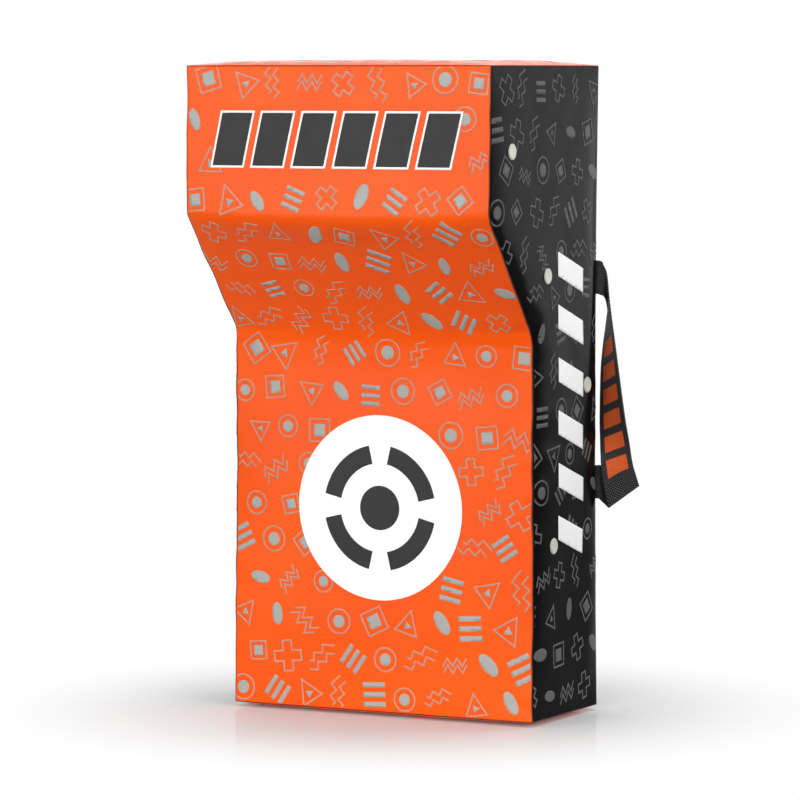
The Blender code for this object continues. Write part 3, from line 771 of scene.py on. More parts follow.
@dataclass
class Panel:
    """A panel of the cover across one axis of the plain box, over two flat measures a and b in metres."""

    name: str
    form: BodyForm
    edge: SeamEdge
    axis: int
    level: float
    facing: float
    ends: Spot
    step_across: float = 0.006
    step_along: float = 0.006

    @property
    def sides(self) -> Spot:
        """The outermost values of a."""
        return -self.form.half_width, self.form.half_width

    def flat_size(self) -> Spot:
        """Give the width and length that the panel was cut to."""
        return self.form.width, self.ends[1] - self.ends[0]

    def plain(self, a: float, b: float) -> Vector:
        """Give the point on the plain box."""
        values = [a, b]
        values.insert(self.axis, self.level)
        return Vector(values)

    def outward(self, a: float, b: float) -> Vector:
        """Give the plain box's outward direction."""
        return unit(self.axis) * self.facing

    def borders(self, a: float, b: float) -> Spot:
        """Give the distances from the nearest side seam and the nearest end seam."""
        return self.form.half_width - abs(a), min(b - self.ends[0], self.ends[1] - b)

    def grid(self) -> list[list[Spot]]:
        """Give rows of flat measures for the panel's mesh."""
        columns = self.edge.levels(*self.sides, self.step_across)
        return [[(a, b) for a in columns] for b in self.edge.levels(*self.ends, self.step_along)]

    def point(self, a: float, b: float, lift: float = 0.0) -> Vector:
        """Give the place of a point of the fabric's face.

        Args:
            a: The first flat measure.
            b: The second flat measure.
            lift: A height above the face.

        Returns:
            The place in the shared frame.
        """
        plain = self.plain(a, b)
        side, end = self.borders(a, b)
        raised = self.edge.lift(plain, min(side, end)) - self.edge.drop(side) - self.edge.drop(end)
        return self.form.settle(plain) + self.outward(a, b) * (raised + (lift + self.swell(a, b)))

    def swell(self, a: float, b: float) -> float:
        """Give the height of the panel's own swells and creases."""
        return 0.0

    def middle_outward(self) -> Vector:
        """Give the outward direction at the middle of the panel."""
        rows = self.grid()
        middle = rows[len(rows) // 2]
        return self.outward(*middle[len(middle) // 2])

    def build_mesh(self) -> bmesh.types.BMesh:
        """Lay a grid on the panel.

        Returns:
            The open sheet, facing outwards.
        """
        rows = self.grid()
        shape = bmesh.new()
        across, up = len(rows[0]) - 1, len(rows) - 1
        bmesh.ops.create_grid(shape, x_segments=across, y_segments=up, size=1.0)
        for vertex in shape.verts:
            column = round((vertex.co.x + 1) / 2 * across)
            row = round((vertex.co.y + 1) / 2 * up)
            vertex.co = self.point(*rows[row][column])
        shape.normal_update()
        facing = sum((face.normal * face.calc_area() for face in shape.faces), Vector())
        if facing.dot(self.middle_outward()) < 0:
            bmesh.ops.reverse_faces(shape, faces=shape.faces)
        return shape


class BottomPanel(Panel):
    """The bottom panel, which flattens on the floor."""

    def point(self, a: float, b: float, lift: float = 0.0) -> Vector:
        """Give the place of a point of the fabric's face, never below the floor."""
        place = super().point(a, b, lift)
        place.z = max(place.z, -lift)
        return place


class FrontPanel(Panel):
    """The sheet over the lower front, the slope and the upper front: a is x, b runs up the sheet."""

    crease_width = 0.0042
    crease_start = 0.006
    turn_reach = 0.004

    def __init__(self, form: BodyForm, edge: SeamEdge) -> None:
        """Measure the front line and place the swells and creases by its folds.

        Args:
            form: The body's form.
            edge: The seam's roll.
        """
        self.line = form.front_line()
        self.run = [0.0]
        for start, end in zip(self.line, self.line[1:]):
            self.run.append(self.run[-1] + (end - start).length)
        self.length = self.run[-1]
        super().__init__("front_panel", form, edge, 1, 0.0, -1.0, (0.0, self.length), step_along=0.0032)
        low, high = self.length_at(form.slope_foot_height), self.length_at(form.slope_head_height)
        self.bellies = ((high - 0.011, 0.0042, 0.022), (low - 0.002, 0.0042, 0.032))
        self.creases = (
            (low - 0.012, 0.10, 0.0011, 0.050, -1.0), (low + 0.004, -0.06, -0.0012, 0.070, -1.0),
            (low + 0.019, 0.16, 0.0009, 0.040, -1.0), (low - 0.010, 0.14, 0.0011, 0.055, 1.0),
            (low + 0.006, 0.05, -0.0011, 0.060, 1.0), (low + 0.022, -0.12, 0.0008, 0.035, 1.0),
            (high - 0.008, -0.10, 0.0008, 0.040, -1.0), (high + 0.010, 0.12, -0.0007, 0.045, -1.0),
            (high - 0.006, 0.10, -0.0008, 0.045, 1.0), (high + 0.012, -0.08, 0.0007, 0.035, 1.0),
            (0.010, 0.25, 0.0008, 0.030, -1.0), (0.014, 0.20, -0.0008, 0.035, 1.0),
            (self.length - 0.012, -0.22, -0.0007, 0.030, -1.0), (self.length - 0.014, -0.3, 0.0007, 0.030, 1.0),
        )

    def locate(self, b: float) -> tuple[Vector, Vector]:
        """Give the point (y, z) and the direction of the front line at a length along it."""
        index = max(0, min(len(self.run) - 2, bisect_right(self.run, b) - 1))
        span = self.line[index + 1] - self.line[index]
        return self.line[index] + span * ((b - self.run[index]) / span.length), span.normalized()

    def length_at(self, height: float) -> float:
        """Give the length along the sheet at a height."""
        for index, (low, high) in enumerate(zip(self.line, self.line[1:])):
            if high.y >= height:
                return mix(self.run[index], self.run[index + 1], (height - low.y) / (high.y - low.y))
        return self.length

    def plain(self, a: float, b: float) -> Vector:
        """Give the point on the plain box."""
        return Vector((a, *self.locate(b)[0]))

    def outward(self, a: float, b: float) -> Vector:
        """Give the plain box's outward direction."""
        run = (self.locate(b - self.turn_reach)[1] + self.locate(b + self.turn_reach)[1]).normalized()
        return Vector((0.0, -run.y, run.x))

    def swell(self, a: float, b: float) -> float:
        """Give the height of the swells and creases by the two folds.

        Args:
            a: The first flat measure.
            b: The second flat measure.

        Returns:
            The height.
        """
        inward = self.form.half_width - abs(a)
        middle = 1 - abs(a / self.form.half_width) ** 3
        height = sum(rise * middle * math.exp(-((b - start) / reach) ** 2) for start, rise, reach in self.bellies)
        for start, lean, depth, reach, side in self.creases:
            if side * math.copysign(1.0, a) > 0:
                across = (b - start - lean * inward) / self.crease_width
                fade = smooth_step(inward / self.crease_start)
                height += depth * math.exp(-across * across - inward / reach) * fade
        return height


class SidePanel(Panel):
    """A black side panel: a is y and b is z of the plain box."""

    def __init__(self, side: Side, form: BodyForm, edge: SeamEdge, front: FrontPanel) -> None:
        """Keep the side and the front line that the panel follows.

        Args:
            side: Which side it is on.
            form: The body's form.
            edge: The seam's roll.
            front: The front panel.
        """
        super().__init__(side.label + "_side_panel", form, edge, 0, side.value * form.half_width,
                         float(side.value), (0.0, form.height))
        self.side = side
        self.front = front

    @property
    def sides(self) -> Spot:
        """Values of a well before the front seam and at the rear seam."""
        return -1.0, self.form.lower_depth

    def front_at(self, b: float) -> Spot:
        """Give y of the front seam at a height, and the cosine of the seam's lean there."""
        height = max(0.0, min(self.form.height, b))
        spot, run = self.front.locate(self.front.length_at(height))
        return spot.x, max(0.5, run.y)

    def flat_size(self) -> Spot:
        """Give the width and length that the panel was cut to."""
        return self.form.lower_depth + self.form.bump_lip_depth, self.form.height

    def borders(self, a: float, b: float) -> Spot:
        """Give the distances from the nearest side seam and the nearest end seam."""
        front, lean = self.front_at(b)
        return min((a - front) * lean, self.form.lower_depth - a), super().borders(a, b)[1]

    def grid(self) -> list[list[Spot]]:
        """Give rows of flat measures, evenly divided between the front seam and the rear seam.

        Returns:
            The rows.
        """
        rear, fine = self.form.lower_depth, self.edge.next_steps[-1]
        plain = self.edge.levels(0.0, rear, self.step_across)
        rows = []
        for b in self.edge.levels(*self.ends, self.step_along):
            front, lean = self.front_at(b)
            depth = rear - front
            row = []
            for number, item in enumerate(plain):
                if min(item, rear - item) > fine + 0.0005:
                    shift = mix(fine / lean, depth - fine, (item - fine) / (rear - 2 * fine))
                elif number < len(plain) // 2:
                    shift = item / lean
                else:
                    shift = depth - (rear - item)
                row.append((front + shift, b))
            rows.append(row)
        return rows


# ---- The cover ----


@dataclass
class Cover:
    """The six sewn panels, the seams between them and the foam that they hold."""

    shop: Workshop
    form: BodyForm = field(default_factory=BodyForm)
    edge: SeamEdge = field(default_factory=SeamEdge)
    thickness: float = 0.001
    seam_radius: float = 0.0007
    seam_inset: float = 0.00095
    slot_low: float = 0.083
    slot_high: float = 0.683
    slot_half_width: float = 0.0085
    foam_inset: float = 0.0026
    foam_base: float = 0.0013
    foam_bevel: float = 0.012
    foam_cells: tuple[int, int, int] = (16, 6, 30)
    board_thickness: float = 0.030
    board_gap: float = 0.0003
    wedge_rise: float = 0.008
    wedge_front: float = 0.0032
    wedge_rear: float = 0.0023

    def __post_init__(self) -> None:
        """Lay out the panels."""
        form, edge, rear = self.form, self.edge, self.form.lower_depth
        head = (form.front_depth(form.height), rear)
        self.front = FrontPanel(form, edge)
        self.right, self.left = (SidePanel(side, form, edge, self.front) for side in (Side.RIGHT, Side.LEFT))
        self.top = Panel("top_panel", form, edge, 2, form.height, 1.0, head, 0.008, 0.008)
        self.bottom = BottomPanel("bottom_panel", form, edge, 2, 0.0, -1.0, (0.0, rear), 0.008, 0.008)
        self.back = Panel("back_panel", form, edge, 1, rear, 1.0, (0.0, form.height))

    def build(self) -> None:
        """Build the foam, the panels and the seams."""
        foam = [piece.name for piece in self.build_foam()]
        for panel in (self.front, self.top, self.bottom):
            self.build_panel(panel, "orange_coated_fabric", "orange_cover")
        for panel in (self.right, self.left):
            self.build_panel(panel, "black_coated_fabric", "black_cover")
        self.build_panel(self.back, "black_back_fabric", "black_cover")
        self.build_seams()

    def build_panel(self, panel: Panel, finish: str, slot: str) -> None:
        """Build one panel.

        Args:
            panel: The panel's surface.
            finish: Its finish.
            slot: Its material slot.
        """
        shape = panel.build_mesh()
        if panel is self.back:
            self.cut_zip_slot(shape)
        area = sum(face.calc_area() for face in shape.faces)
        piece = self.shop.piece(panel.name + "_cloth", shape, finish, slot, Body.SHIELD, 60.0)
        self.shop.thicken(piece, self.thickness, -1.0)
        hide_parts(panel.name)

    def cut_zip_slot(self, shape: bmesh.types.BMesh) -> None:
        """Cut the zip's slot.

        Args:
            shape: The back panel's sheet.
        """
        half, lift = self.slot_half_width, self.form.seam_lift
        low, high = self.slot_low + lift, self.slot_high + lift
        for axis, level in ((0, -half), (0, half), (2, low), (2, high)):
            slice_through(shape, axis, level)
        middles = {face: face.calc_center_median() for face in shape.faces}
        inside = [face for face, middle in middles.items() if abs(middle.x) < half and low < middle.z < high]
        bmesh.ops.delete(shape, geom=inside, context="FACES")

    def build_foam(self) -> list[bpy.types.Object]:
        """Build the foam block, the rear board and the front wedge.

        Returns:
            The three pieces.
        """
        form = self.form
        half, top, rear = (length - self.foam_inset for length in (form.half_width, form.height, form.lower_depth))
        board_front = rear - self.board_thickness
        wedge_low = form.slope_foot_height + self.wedge_rise

        def slab(x: float, y: float, z: float, faces: Spot) -> Vector:
            """Place a point of the unit cube in an upright slab between two faces."""
            return Vector((x * 2 * half, mix(*faces, y + 0.5), mix(self.foam_base, top, z + 0.5)))

        def wedge(x: float, y: float, z: float) -> Vector:
            """Place a point of the unit cube in the wedge behind the upper front."""
            height = mix(wedge_low, top, z + 0.5)
            face = self.right.front_at(height)[0] + self.wedge_front
            return Vector((x * 2 * half, mix(face, self.wedge_rear, y + 0.5), height))

        block = partial(slab, faces=(self.foam_inset, board_front - self.board_gap))
        board = partial(slab, faces=(board_front, rear))
        return [self.foam_piece("main_foam_block", "cream_foam", "foam", block),
                self.foam_piece("rear_foam_board", "grey_board_foam", "board", board),
                self.foam_piece("upper_foam_wedge", "cream_foam", "foam", wedge)]

    def foam_piece(self, node: str, finish: str, slot: str,
                   place: Callable[[float, float, float], Vector]) -> bpy.types.Object:
        """Build one foam piece from a divided cube with softened edges.

        Args:
            node: The node that it stands for.
            finish: Its finish.
            slot: Its material slot.
            place: Gives the plain box point of a point of the unit cube.

        Returns:
            The piece.
        """
        shape = bmesh.new()
        bmesh.ops.create_cube(shape, size=1.0)
        bmesh.ops.bevel(shape, geom=shape.edges[:], offset=self.foam_bevel, segments=2, profile=0.5,
                        affect="EDGES", material=-1)
        for axis, cells in enumerate(self.foam_cells):
            for cell in range(1, cells):
                slice_through(shape, axis, cell / cells - 0.5)
        for vertex in shape.verts:
            vertex.co = self.form.plump(place(*vertex.co))
        bmesh.ops.recalc_face_normals(shape, faces=shape.faces)
        piece = self.shop.piece(node + "_core", shape, finish, slot, Body.SHIELD)
        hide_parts(node)
        return piece

    def build_seams(self) -> None:
        """Build the closed ridge that shows in the groove between each two panels; on the orange panels its dark
        red-brown is painted shade of the groove.
        """
        inset, form = self.seam_inset, self.form
        half, low, high = form.half_width - inset, inset, form.height - inset
        head, rear = form.front_depth(form.height) + inset, form.lower_depth - inset
        levels = [mix(low, self.front.length - inset, number / 120) for number in range(121)]
        line = [self.front.plain(0.0, b) - self.front.outward(0.0, b) * inset for b in levels]

        def run(start: Sequence[float], end: Sequence[float], steps: int) -> list[Vector]:
            """Give evenly spaced points of a straight seam."""
            return [Vector([mix(*ends, step / steps) for ends in zip(start, end)]) for step in range(steps + 1)]

        for side in Side:
            x = side.value * half
            base, corner = (x, rear, low), (x, rear, high)
            for name, points in (
                ("front_seam", [Vector((x, point.y, point.z)) for point in line]),
                ("rear_seam", run(base, corner, 60)), ("top_seam", run((x, head, high), corner, 24)),
                ("base_seam", run((x, low, low), base, 24)),
            ):
                self.build_seam(f"{side.label}_{name}", points)
        for name, y, z in (("front_top_seam", head, high), ("front_base_seam", low, low),
                           ("rear_top_seam", rear, high), ("rear_base_seam", rear, low)):
            self.build_seam(name, run((-half, y, z), (half, y, z), 40))

    def build_seam(self, name: str, points: list[Vector]) -> None:
        """Build the ridge of a seam along plain box points; the upright rear ones lie in black cloth and are black,
        the others are dark red-brown, painted shade of the seam's groove.
        """
        upright = name.endswith("_rear_seam")
        shape = bmesh.new()
        sweep_round(shape, [self.form.settle(point) for point in points], self.seam_radius, 8)
        # The dark red-brown ridge is painted shade of the seam's groove.
        self.shop.piece(name, shape, "seam_thread_black" if upright else "seam_groove_painted_shade",
                        "black_cover" if upright else "orange_cover", Body.SHIELD)


def slice_through(shape: bmesh.types.BMesh, axis: int, level: float) -> None:
    """Cut a mesh in two along a plane that crosses an axis at a level, and keep both parts."""
    everything = shape.verts[:] + shape.edges[:] + shape.faces[:]
    bmesh.ops.bisect_plane(shape, geom=everything, plane_co=unit(axis) * level, plane_no=unit(axis))


def sweep_round(shape: bmesh.types.BMesh, places: Sequence[Vector], radius: float, sides: int) -> None:
    """Sweep a circle along points into a closed round bar.

    Args:
        shape: The mesh that it is added to.
        places: The points of its middle line.
        radius: Its radius.
        sides: How many sides it has.
    """
    count = len(places) - 1
    bar = bmesh.new()
    bmesh.ops.create_cone(bar, cap_ends=True, segments=sides, radius1=radius, radius2=radius, depth=float(count))
    if count > 1:
        upright = [edge for edge in bar.edges if abs(edge.verts[0].co.z - edge.verts[1].co.z) > count / 2]
        bmesh.ops.subdivide_edges(bar, edges=upright, cuts=count - 1)
    headings = [(places[min(count, number + 1)] - places[max(0, number - 1)]).normalized()
                for number in range(count + 1)]
    turns = [headings[0].to_track_quat("Z", "Y")]
    for before, after in zip(headings, headings[1:]):
        turns.append(before.rotation_difference(after) @ turns[-1])
    for vertex in bar.verts:
        level = round(vertex.co.z + count / 2)
        vertex.co = places[level] + turns[level] @ Vector((vertex.co.x, vertex.co.y, 0.0))
    mesh = bpy.data.meshes.new("bar")
    bar.to_mesh(mesh)
    bar.free()
    shape.from_mesh(mesh)
    bpy.data.meshes.remove(mesh)


def add_box(shape: bmesh.types.BMesh, low: Sequence[float], high: Sequence[float], edge_radius: float,
            segments: int = 2) -> None:
    """Add a box with rounded edges.

    Args:
        shape: The mesh that it is added to.
        low: Its lowest corner.
        high: Its highest corner.
        edge_radius: The radius of its edges.
        segments: The steps of each rounding.
    """
    size = Vector(high) - Vector(low)
    middle = (Vector(high) + Vector(low)) / 2
    made = bmesh.ops.create_cube(shape, size=1.0)["verts"]
    for vertex in made:
        vertex.co = middle + Vector(part * length for part, length in zip(vertex.co, size))
    edges = list({edge for vertex in made for edge in vertex.link_edges})
    bmesh.ops.bevel(shape, geom=edges, offset=edge_radius, segments=segments, profile=0.5,
                    affect="EDGES", material=-1)


# ---- Prints ----


class FlatShape:
    """A flat drawing in two measures, later laid on a panel."""

    mitre_limit = 0.35
    face_reach = 0.13
    tiny = 1e-6

    def __init__(self) -> None:
        """Start an empty drawing."""
        self.shape = bmesh.new()

    def spot(self, centre: Sequence[float], radii: Sequence[float], turn: float = 0.0,
             segments: int = 28) -> None:
        """Add a filled oval or, with few segments, a filled regular shape.

        Args:
            centre: Its middle.
            radii: Its two half widths.
            turn: Its turn in radians.
            segments: How many sides it has.
        """
        made = bmesh.ops.create_circle(self.shape, cap_ends=True, segments=segments, radius=1.0)["verts"]
        swing = Matrix.Rotation(turn, 2)
        for vertex in made:
            flat = swing @ Vector((vertex.co.x * radii[0], vertex.co.y * radii[1]))
            vertex.co = (centre[0] + flat.x, centre[1] + flat.y, 0.0)

    def line(self, points: Sequence[Sequence[float]], width: float, closed: bool = False) -> None:
        """Add a mitred line of an even width.

        Args:
            points: The points of its middle.
            width: Its width.
            closed: Whether it runs back to its start.
        """
        path = [Vector(point) for point in (*points, *(points[:1] if closed else ()))]
        last = len(path) - 1
        runs = [(after - before).normalized() for before, after in zip(path, path[1:])]
        made = bmesh.ops.create_grid(self.shape, x_segments=last, y_segments=1, size=1.0)["verts"]
        for vertex in made:
            index = round((vertex.co.x + 1) / 2 * last)
            before = runs[index - 1] if index or closed else runs[0]
            after = runs[index % last] if index < last or closed else runs[-1]
            mitre = (before + after).orthogonal().normalized()
            reach = width / 2 / max(self.mitre_limit, mitre.dot(before.orthogonal()))
            flat = path[index] + mitre * math.copysign(reach, vertex.co.y)
            vertex.co = (flat.x, flat.y, 0.0)
        if closed:
            bmesh.ops.remove_doubles(self.shape, verts=made, dist=self.tiny)

    def area_of(self, corners: Sequence[Sequence[float]]) -> None:
        """Add a filled four-sided shape, given in order round it."""
        made = bmesh.ops.create_grid(self.shape, x_segments=1, y_segments=1, size=1.0)["verts"]
        order = {(-1, -1): 0, (1, -1): 1, (1, 1): 2, (-1, 1): 3}
        for vertex in made:
            corner = corners[order[(round(vertex.co.x), round(vertex.co.y))]]
            vertex.co = (corner[0], corner[1], 0.0)

    def split_round_faces(self) -> None:
        """Cut faces of more than four sides into triangles."""
        large = [face for face in self.shape.faces if len(face.verts) > 4]
        bmesh.ops.triangulate(self.shape, faces=large)

    def clip(self, axis: int, low: float, high: float) -> None:
        """Cut off what lies outside two levels.

        Args:
            axis: 0 for the first measure, 1 for the second.
            low: The lower level.
            high: The upper level.
        """
        self.split_round_faces()
        shape = self.shape
        for level, outer in ((low, -1.0), (high, 1.0)):
            everything = shape.verts[:] + shape.edges[:] + shape.faces[:]
            bmesh.ops.bisect_plane(shape, geom=everything, plane_co=unit(axis) * level,
                                   plane_no=unit(axis) * outer, clear_outer=True)

    def divide(self, step: float) -> None:
        """Cut the drawing along a square net, so that it can follow a curved panel.

        Args:
            step: The net's spacing.
        """
        self.split_round_faces()
        shape = self.shape
        for axis in (0, 1):
            values = [vertex.co[axis] for vertex in shape.verts]
            for number in range(math.ceil(min(values) / step), math.floor(max(values) / step) + 1):
                self.divide_at(axis, number * step)

    def divide_at(self, axis: int, level: float) -> None:
        """Cut the faces that cross a level.

        Args:
            axis: 0 for the first measure, 1 for the second.
            level: The level.
        """
        near = {face for vertex in self.shape.verts if abs(vertex.co[axis] - level) < self.face_reach
                for face in vertex.link_faces}
        crossed = []
        for face in near:
            values = [vertex.co[axis] for vertex in face.verts]
            if min(values) < level - self.tiny and max(values) > level + self.tiny:
                crossed.append(face)
        if crossed:
            edges = {edge for face in crossed for edge in face.edges}
            verts = {vertex for face in crossed for vertex in face.verts}
            bmesh.ops.bisect_plane(self.shape, geom=[*verts, *edges, *crossed], plane_co=unit(axis) * level,
                                   plane_no=unit(axis), dist=self.tiny / 10)

    def clip_front(self, step: float, edge: Callable[[float], float]) -> None:
        """Cut off what lies before a bent line.

        Args:
            step: The net that the drawing is divided on, so that the cut follows the line.
            edge: Gives the line's first measure at a second measure.
        """
        self.divide(step)
        shape = self.shape
        before = {vertex for vertex in shape.verts if vertex.co.x < edge(vertex.co.y)}
        lost = [face for face in shape.faces if before.issuperset(face.verts)]
        bmesh.ops.delete(shape, geom=lost, context="FACES")
        for vertex in shape.verts:
            vertex.co.x = max(vertex.co.x, edge(vertex.co.y))
        bmesh.ops.dissolve_degenerate(shape, edges=shape.edges[:], dist=self.tiny)


@dataclass
class Printer:
    """Lays printed ink on the cover's panels as thin closed skins."""

    shop: Workshop
    ink_thickness: float = 0.00008
    net: float = 0.004

    def lay(self, name: str, drawing: FlatShape, panel: Panel, finish: str, lift: float) -> None:
        """Lay a drawing on a panel.

        Args:
            name: The piece's name.
            drawing: The drawing, which is used up.
            panel: The panel that it is printed on.
            finish: The ink's finish.
            lift: The height above the panel of the ink's under side.
        """
        drawing.divide(self.net)
        shape = drawing.shape
        for vertex in shape.verts:
            vertex.co = panel.point(vertex.co.x, vertex.co.y, lift)
        shape.normal_update()
        outward = panel.middle_outward()
        turned = [face for face in shape.faces if face.normal.dot(outward) < 0]
        bmesh.ops.reverse_faces(shape, faces=turned)
        slot = "black_cover" if isinstance(panel, SidePanel) else "orange_cover"
        piece = self.shop.piece(name, shape, finish, slot, Body.SHIELD, 80.0)
        self.shop.thicken(piece, self.ink_thickness, 1.0)


@dataclass(frozen=True)
class Drawing:
    """How a motif is drawn, in shares of its half width."""

    strokes: tuple[tuple[Spot, ...], ...] = ()
    closed: bool = False
    boxes: tuple[tuple[float, float, float, float], ...] = ()
    spot: Place | None = None
    spot_turn: float = 0.0
    spot_sides: int = 28

    def draw(self, fills: FlatShape, lines: FlatShape, line_width: float, centre: Spot, turn: float,
             size: float) -> None:
        """Draw the motif.

        Args:
            fills: The drawing that its filled shapes go to.
            lines: The drawing that its lines go to.
            line_width: The width of a line.
            centre: Its middle.
            turn: Its turn in radians.
            size: Its half width.
        """
        swing = Matrix.Rotation(turn, 2)

        def at(x: float, y: float) -> Spot:
            """Give the place of a point of the motif."""
            flat = swing @ Vector((x * size, y * size))
            return centre[0] + flat.x, centre[1] + flat.y

        for stroke in self.strokes:
            lines.line([at(*point) for point in stroke], line_width, self.closed)
        for left, low, right, high in self.boxes:
            fills.area_of([at(left, low), at(right, low), at(right, high), at(left, high)])
        if self.spot is not None:
            rise, *radii = self.spot
            fills.spot(at(0.0, rise), [size * radius for radius in radii], turn + self.spot_turn,
                       self.spot_sides)


class Motif(Enum):
    """The loose shapes that are scattered over the cover."""

    OVAL = Drawing(spot=(0.0, 0.42, 0.8), spot_turn=0.5)
    RING = Drawing((tuple((0.8 * math.cos(math.tau * step / 24), 0.8 * math.sin(math.tau * step / 24))
                          for step in range(24)),), True, spot=(0.0, 0.42, 0.42))
    CROSS = Drawing((((-0.3, -0.9), (0.3, -0.9), (0.3, -0.3), (0.9, -0.3), (0.9, 0.3), (0.3, 0.3), (0.3, 0.9),
                      (-0.3, 0.9), (-0.3, 0.3), (-0.9, 0.3), (-0.9, -0.3), (-0.3, -0.3)),), True)
    TRIANGLE = Drawing((((-0.85, -0.7), (0.85, -0.7), (0.0, 0.9)),), True,
                       spot=(-0.18, 0.34, 0.34), spot_turn=math.pi / 6, spot_sides=3)
    ZIGZAG = Drawing((((-1.0, -0.25), (-0.6, 0.35), (-0.2, -0.25), (0.2, 0.35), (0.6, -0.25), (1.0, 0.35)),
                      ((-1.0, -0.75), (-0.6, -0.15), (-0.2, -0.75), (0.2, -0.15), (0.6, -0.75), (1.0, -0.15))))
    DASHES = Drawing(boxes=((-0.75, -0.76, 0.75, -0.44), (-0.75, -0.16, 0.75, 0.16), (-0.75, 0.44, 0.75, 0.76)))
    BOX = Drawing((((-0.7, -0.7), (0.7, -0.7), (0.7, 0.7), (-0.7, 0.7)),), True,
                  boxes=((-0.4, -0.4, 0.4, 0.4),))
    STEPS = Drawing((((-0.9, -0.8), (-0.3, -0.8), (-0.3, -0.25), (0.3, -0.25), (0.3, 0.3), (0.9, 0.3)),
                     ((-0.9, -0.25), (-0.6, -0.25), (-0.6, 0.3), (0.0, 0.3), (0.0, 0.85), (0.9, 0.85))))


@dataclass(frozen=True)
class MotifStyle:
    """The size and the inks of the scattered motifs."""

    size: float
    line_width: float
    fill_ink: str
    line_ink: str
    greatest_turn: float = 1.1
    size_change: float = 0.15


@dataclass
class Artwork:
    """The cover's printed design: scattered motifs, slanted bars and a target."""

    printer: Printer
    cover: Cover
    bar_low: float = 0.648
    bar_high: float = 0.712
    bars_half_width: float = 0.158
    bar_slant: float = 0.014
    bar_count: int = 6
    bar_gap: float = 0.011
    outline_width: float = 0.0026
    disc_height: float = 0.244
    disc_radius: float = 0.110
    dot_share: float = 0.24
    ring_share: float = 0.58
    ring_width_share: float = 0.2
    ring_half_angle: float = 34.0
    side_bars_low: float = 0.188
    side_bars_high: float = 0.549
    side_bars_front: float = 0.057
    side_bars_rear: float = 0.127
    side_bar_slant: float = 0.0224
    seam_margin: float = 0.0024
    stud_clearance: float = 0.021
    column_spacing: float = 0.0455
    row_spacing: float = 0.0460
    stagger: float = 0.22
    shake_share: float = 0.08
    motif_fill_lift: float = 0.00010
    motif_line_lift: float = 0.00019
    large_lift: float = 0.00030
    front_style: MotifStyle = MotifStyle(0.0178, 0.0021, "grey_ink", "line_ink")
    side_style: MotifStyle = MotifStyle(0.0170, 0.0023, "slate_ink", "slate_ink")

    def build(self) -> None:
        """Print every panel."""
        self.print_front_bars()
        self.print_target()
        self.print_front_motifs()
        top = self.cover.top
        self.print_motifs(top, "top", 31, (top.sides, top.ends), self.front_style, lambda a, b: True)
        for panel in (self.cover.right, self.cover.left):
            self.print_side_bars(panel)
            self.print_side_motifs(panel)

    def print_front_bars(self) -> None:
        """Print the slanted bars with pale outlines on the upper front."""
        front = self.cover.front
        low, high = front.length_at(self.bar_low), front.length_at(self.bar_high)
        fills, rims = FlatShape(), FlatShape()
        pitch = (2 * self.bars_half_width + self.bar_gap) / self.bar_count
        lean = self.bar_slant / 2
        for number in range(self.bar_count):
            left = -self.bars_half_width + number * pitch
            right = left + pitch - self.bar_gap
            corners = [(left - lean, low), (right - lean, low), (right + lean, high), (left + lean, high)]
            fills.area_of(corners)
            rims.line(corners, self.outline_width, closed=True)
        self.printer.lay("front_bars", fills, front, "charcoal_ink", self.large_lift)
        self.printer.lay("front_bar_rims", rims, front, "white_ink", 0.00040)

    def print_target(self) -> None:
        """Print the white disc and the broken ring and dot on it."""
        front = self.cover.front
        middle = front.length_at(self.disc_height)
        disc, marks = FlatShape(), FlatShape()
        disc.spot((0.0, middle), (self.disc_radius, self.disc_radius), segments=96)
        self.printer.lay("front_disc", disc, front, "white_ink", self.large_lift)
        dot, ring = self.disc_radius * self.dot_share, self.disc_radius * self.ring_share
        marks.spot((0.0, middle), (dot, dot), segments=48)
        for quarter in range(4):
            arc = []
            for step in range(15):
                spread = mix(-self.ring_half_angle, self.ring_half_angle, step / 14)
                angle = math.radians(45 + 90 * quarter + spread)
                arc.append((ring * math.cos(angle), middle + ring * math.sin(angle)))
            marks.line(arc, self.disc_radius * self.ring_width_share)
        self.printer.lay("front_disc_marks", marks, front, "charcoal_ink", 0.00042)

    def print_side_bars(self, panel: SidePanel) -> None:
        """Print the slanted white bars down a side.

        Args:
            panel: The side's panel.
        """
        bars = FlatShape()
        front, rear = self.side_bars_front, self.side_bars_rear
        pitch = (self.side_bars_high - self.side_bars_low + self.bar_gap) / self.bar_count
        slant = self.side_bar_slant
        for number in range(self.bar_count):
            low = self.side_bars_low + number * pitch
            high = low + pitch - self.bar_gap - slant
            bars.area_of([(front, low + slant), (rear, low), (rear, high), (front, high + slant)])
        self.printer.lay(panel.side.label + "_side_bars", bars, panel, "white_ink", self.large_lift)

    def print_front_motifs(self) -> None:
        """Print the scattered motifs of the front."""
        front = self.cover.front
        low, high = front.length_at(self.bar_low), front.length_at(self.bar_high)
        middle = front.length_at(self.disc_height)

        def allowed(a: float, b: float) -> bool:
            """Tell whether a spot is clear of the bars and the disc."""
            if low < b < high and abs(a) < self.bars_half_width:
                return False
            return math.hypot(a, b - middle) > self.disc_radius - 0.004

        area = (front.sides, (-0.004, front.length + 0.004))
        self.print_motifs(front, "front", 11, area, self.front_style, allowed)

    def print_side_motifs(self, panel: SidePanel) -> None:
        """Print the scattered motifs of a side.

        Args:
            panel: The side's panel.
        """
        def allowed(a: float, b: float) -> bool:
            """Tell whether a spot is on the panel and clear of the studs."""
            clear = all(math.hypot(a - y, b - z) > self.stud_clearance for y, z in Stud.places)
            return a > self.side_edge(panel, b) - 0.008 and clear

        area = ((-0.112, panel.form.lower_depth - 0.004), (0.006, panel.form.height - 0.006))
        self.print_motifs(panel, panel.side.label + "_side", 23, area, self.side_style, allowed)

    def side_edge(self, panel: SidePanel, b: float) -> float:
        """Give the foremost place of a side's print at a height."""
        return panel.front_at(b)[0] + self.seam_margin

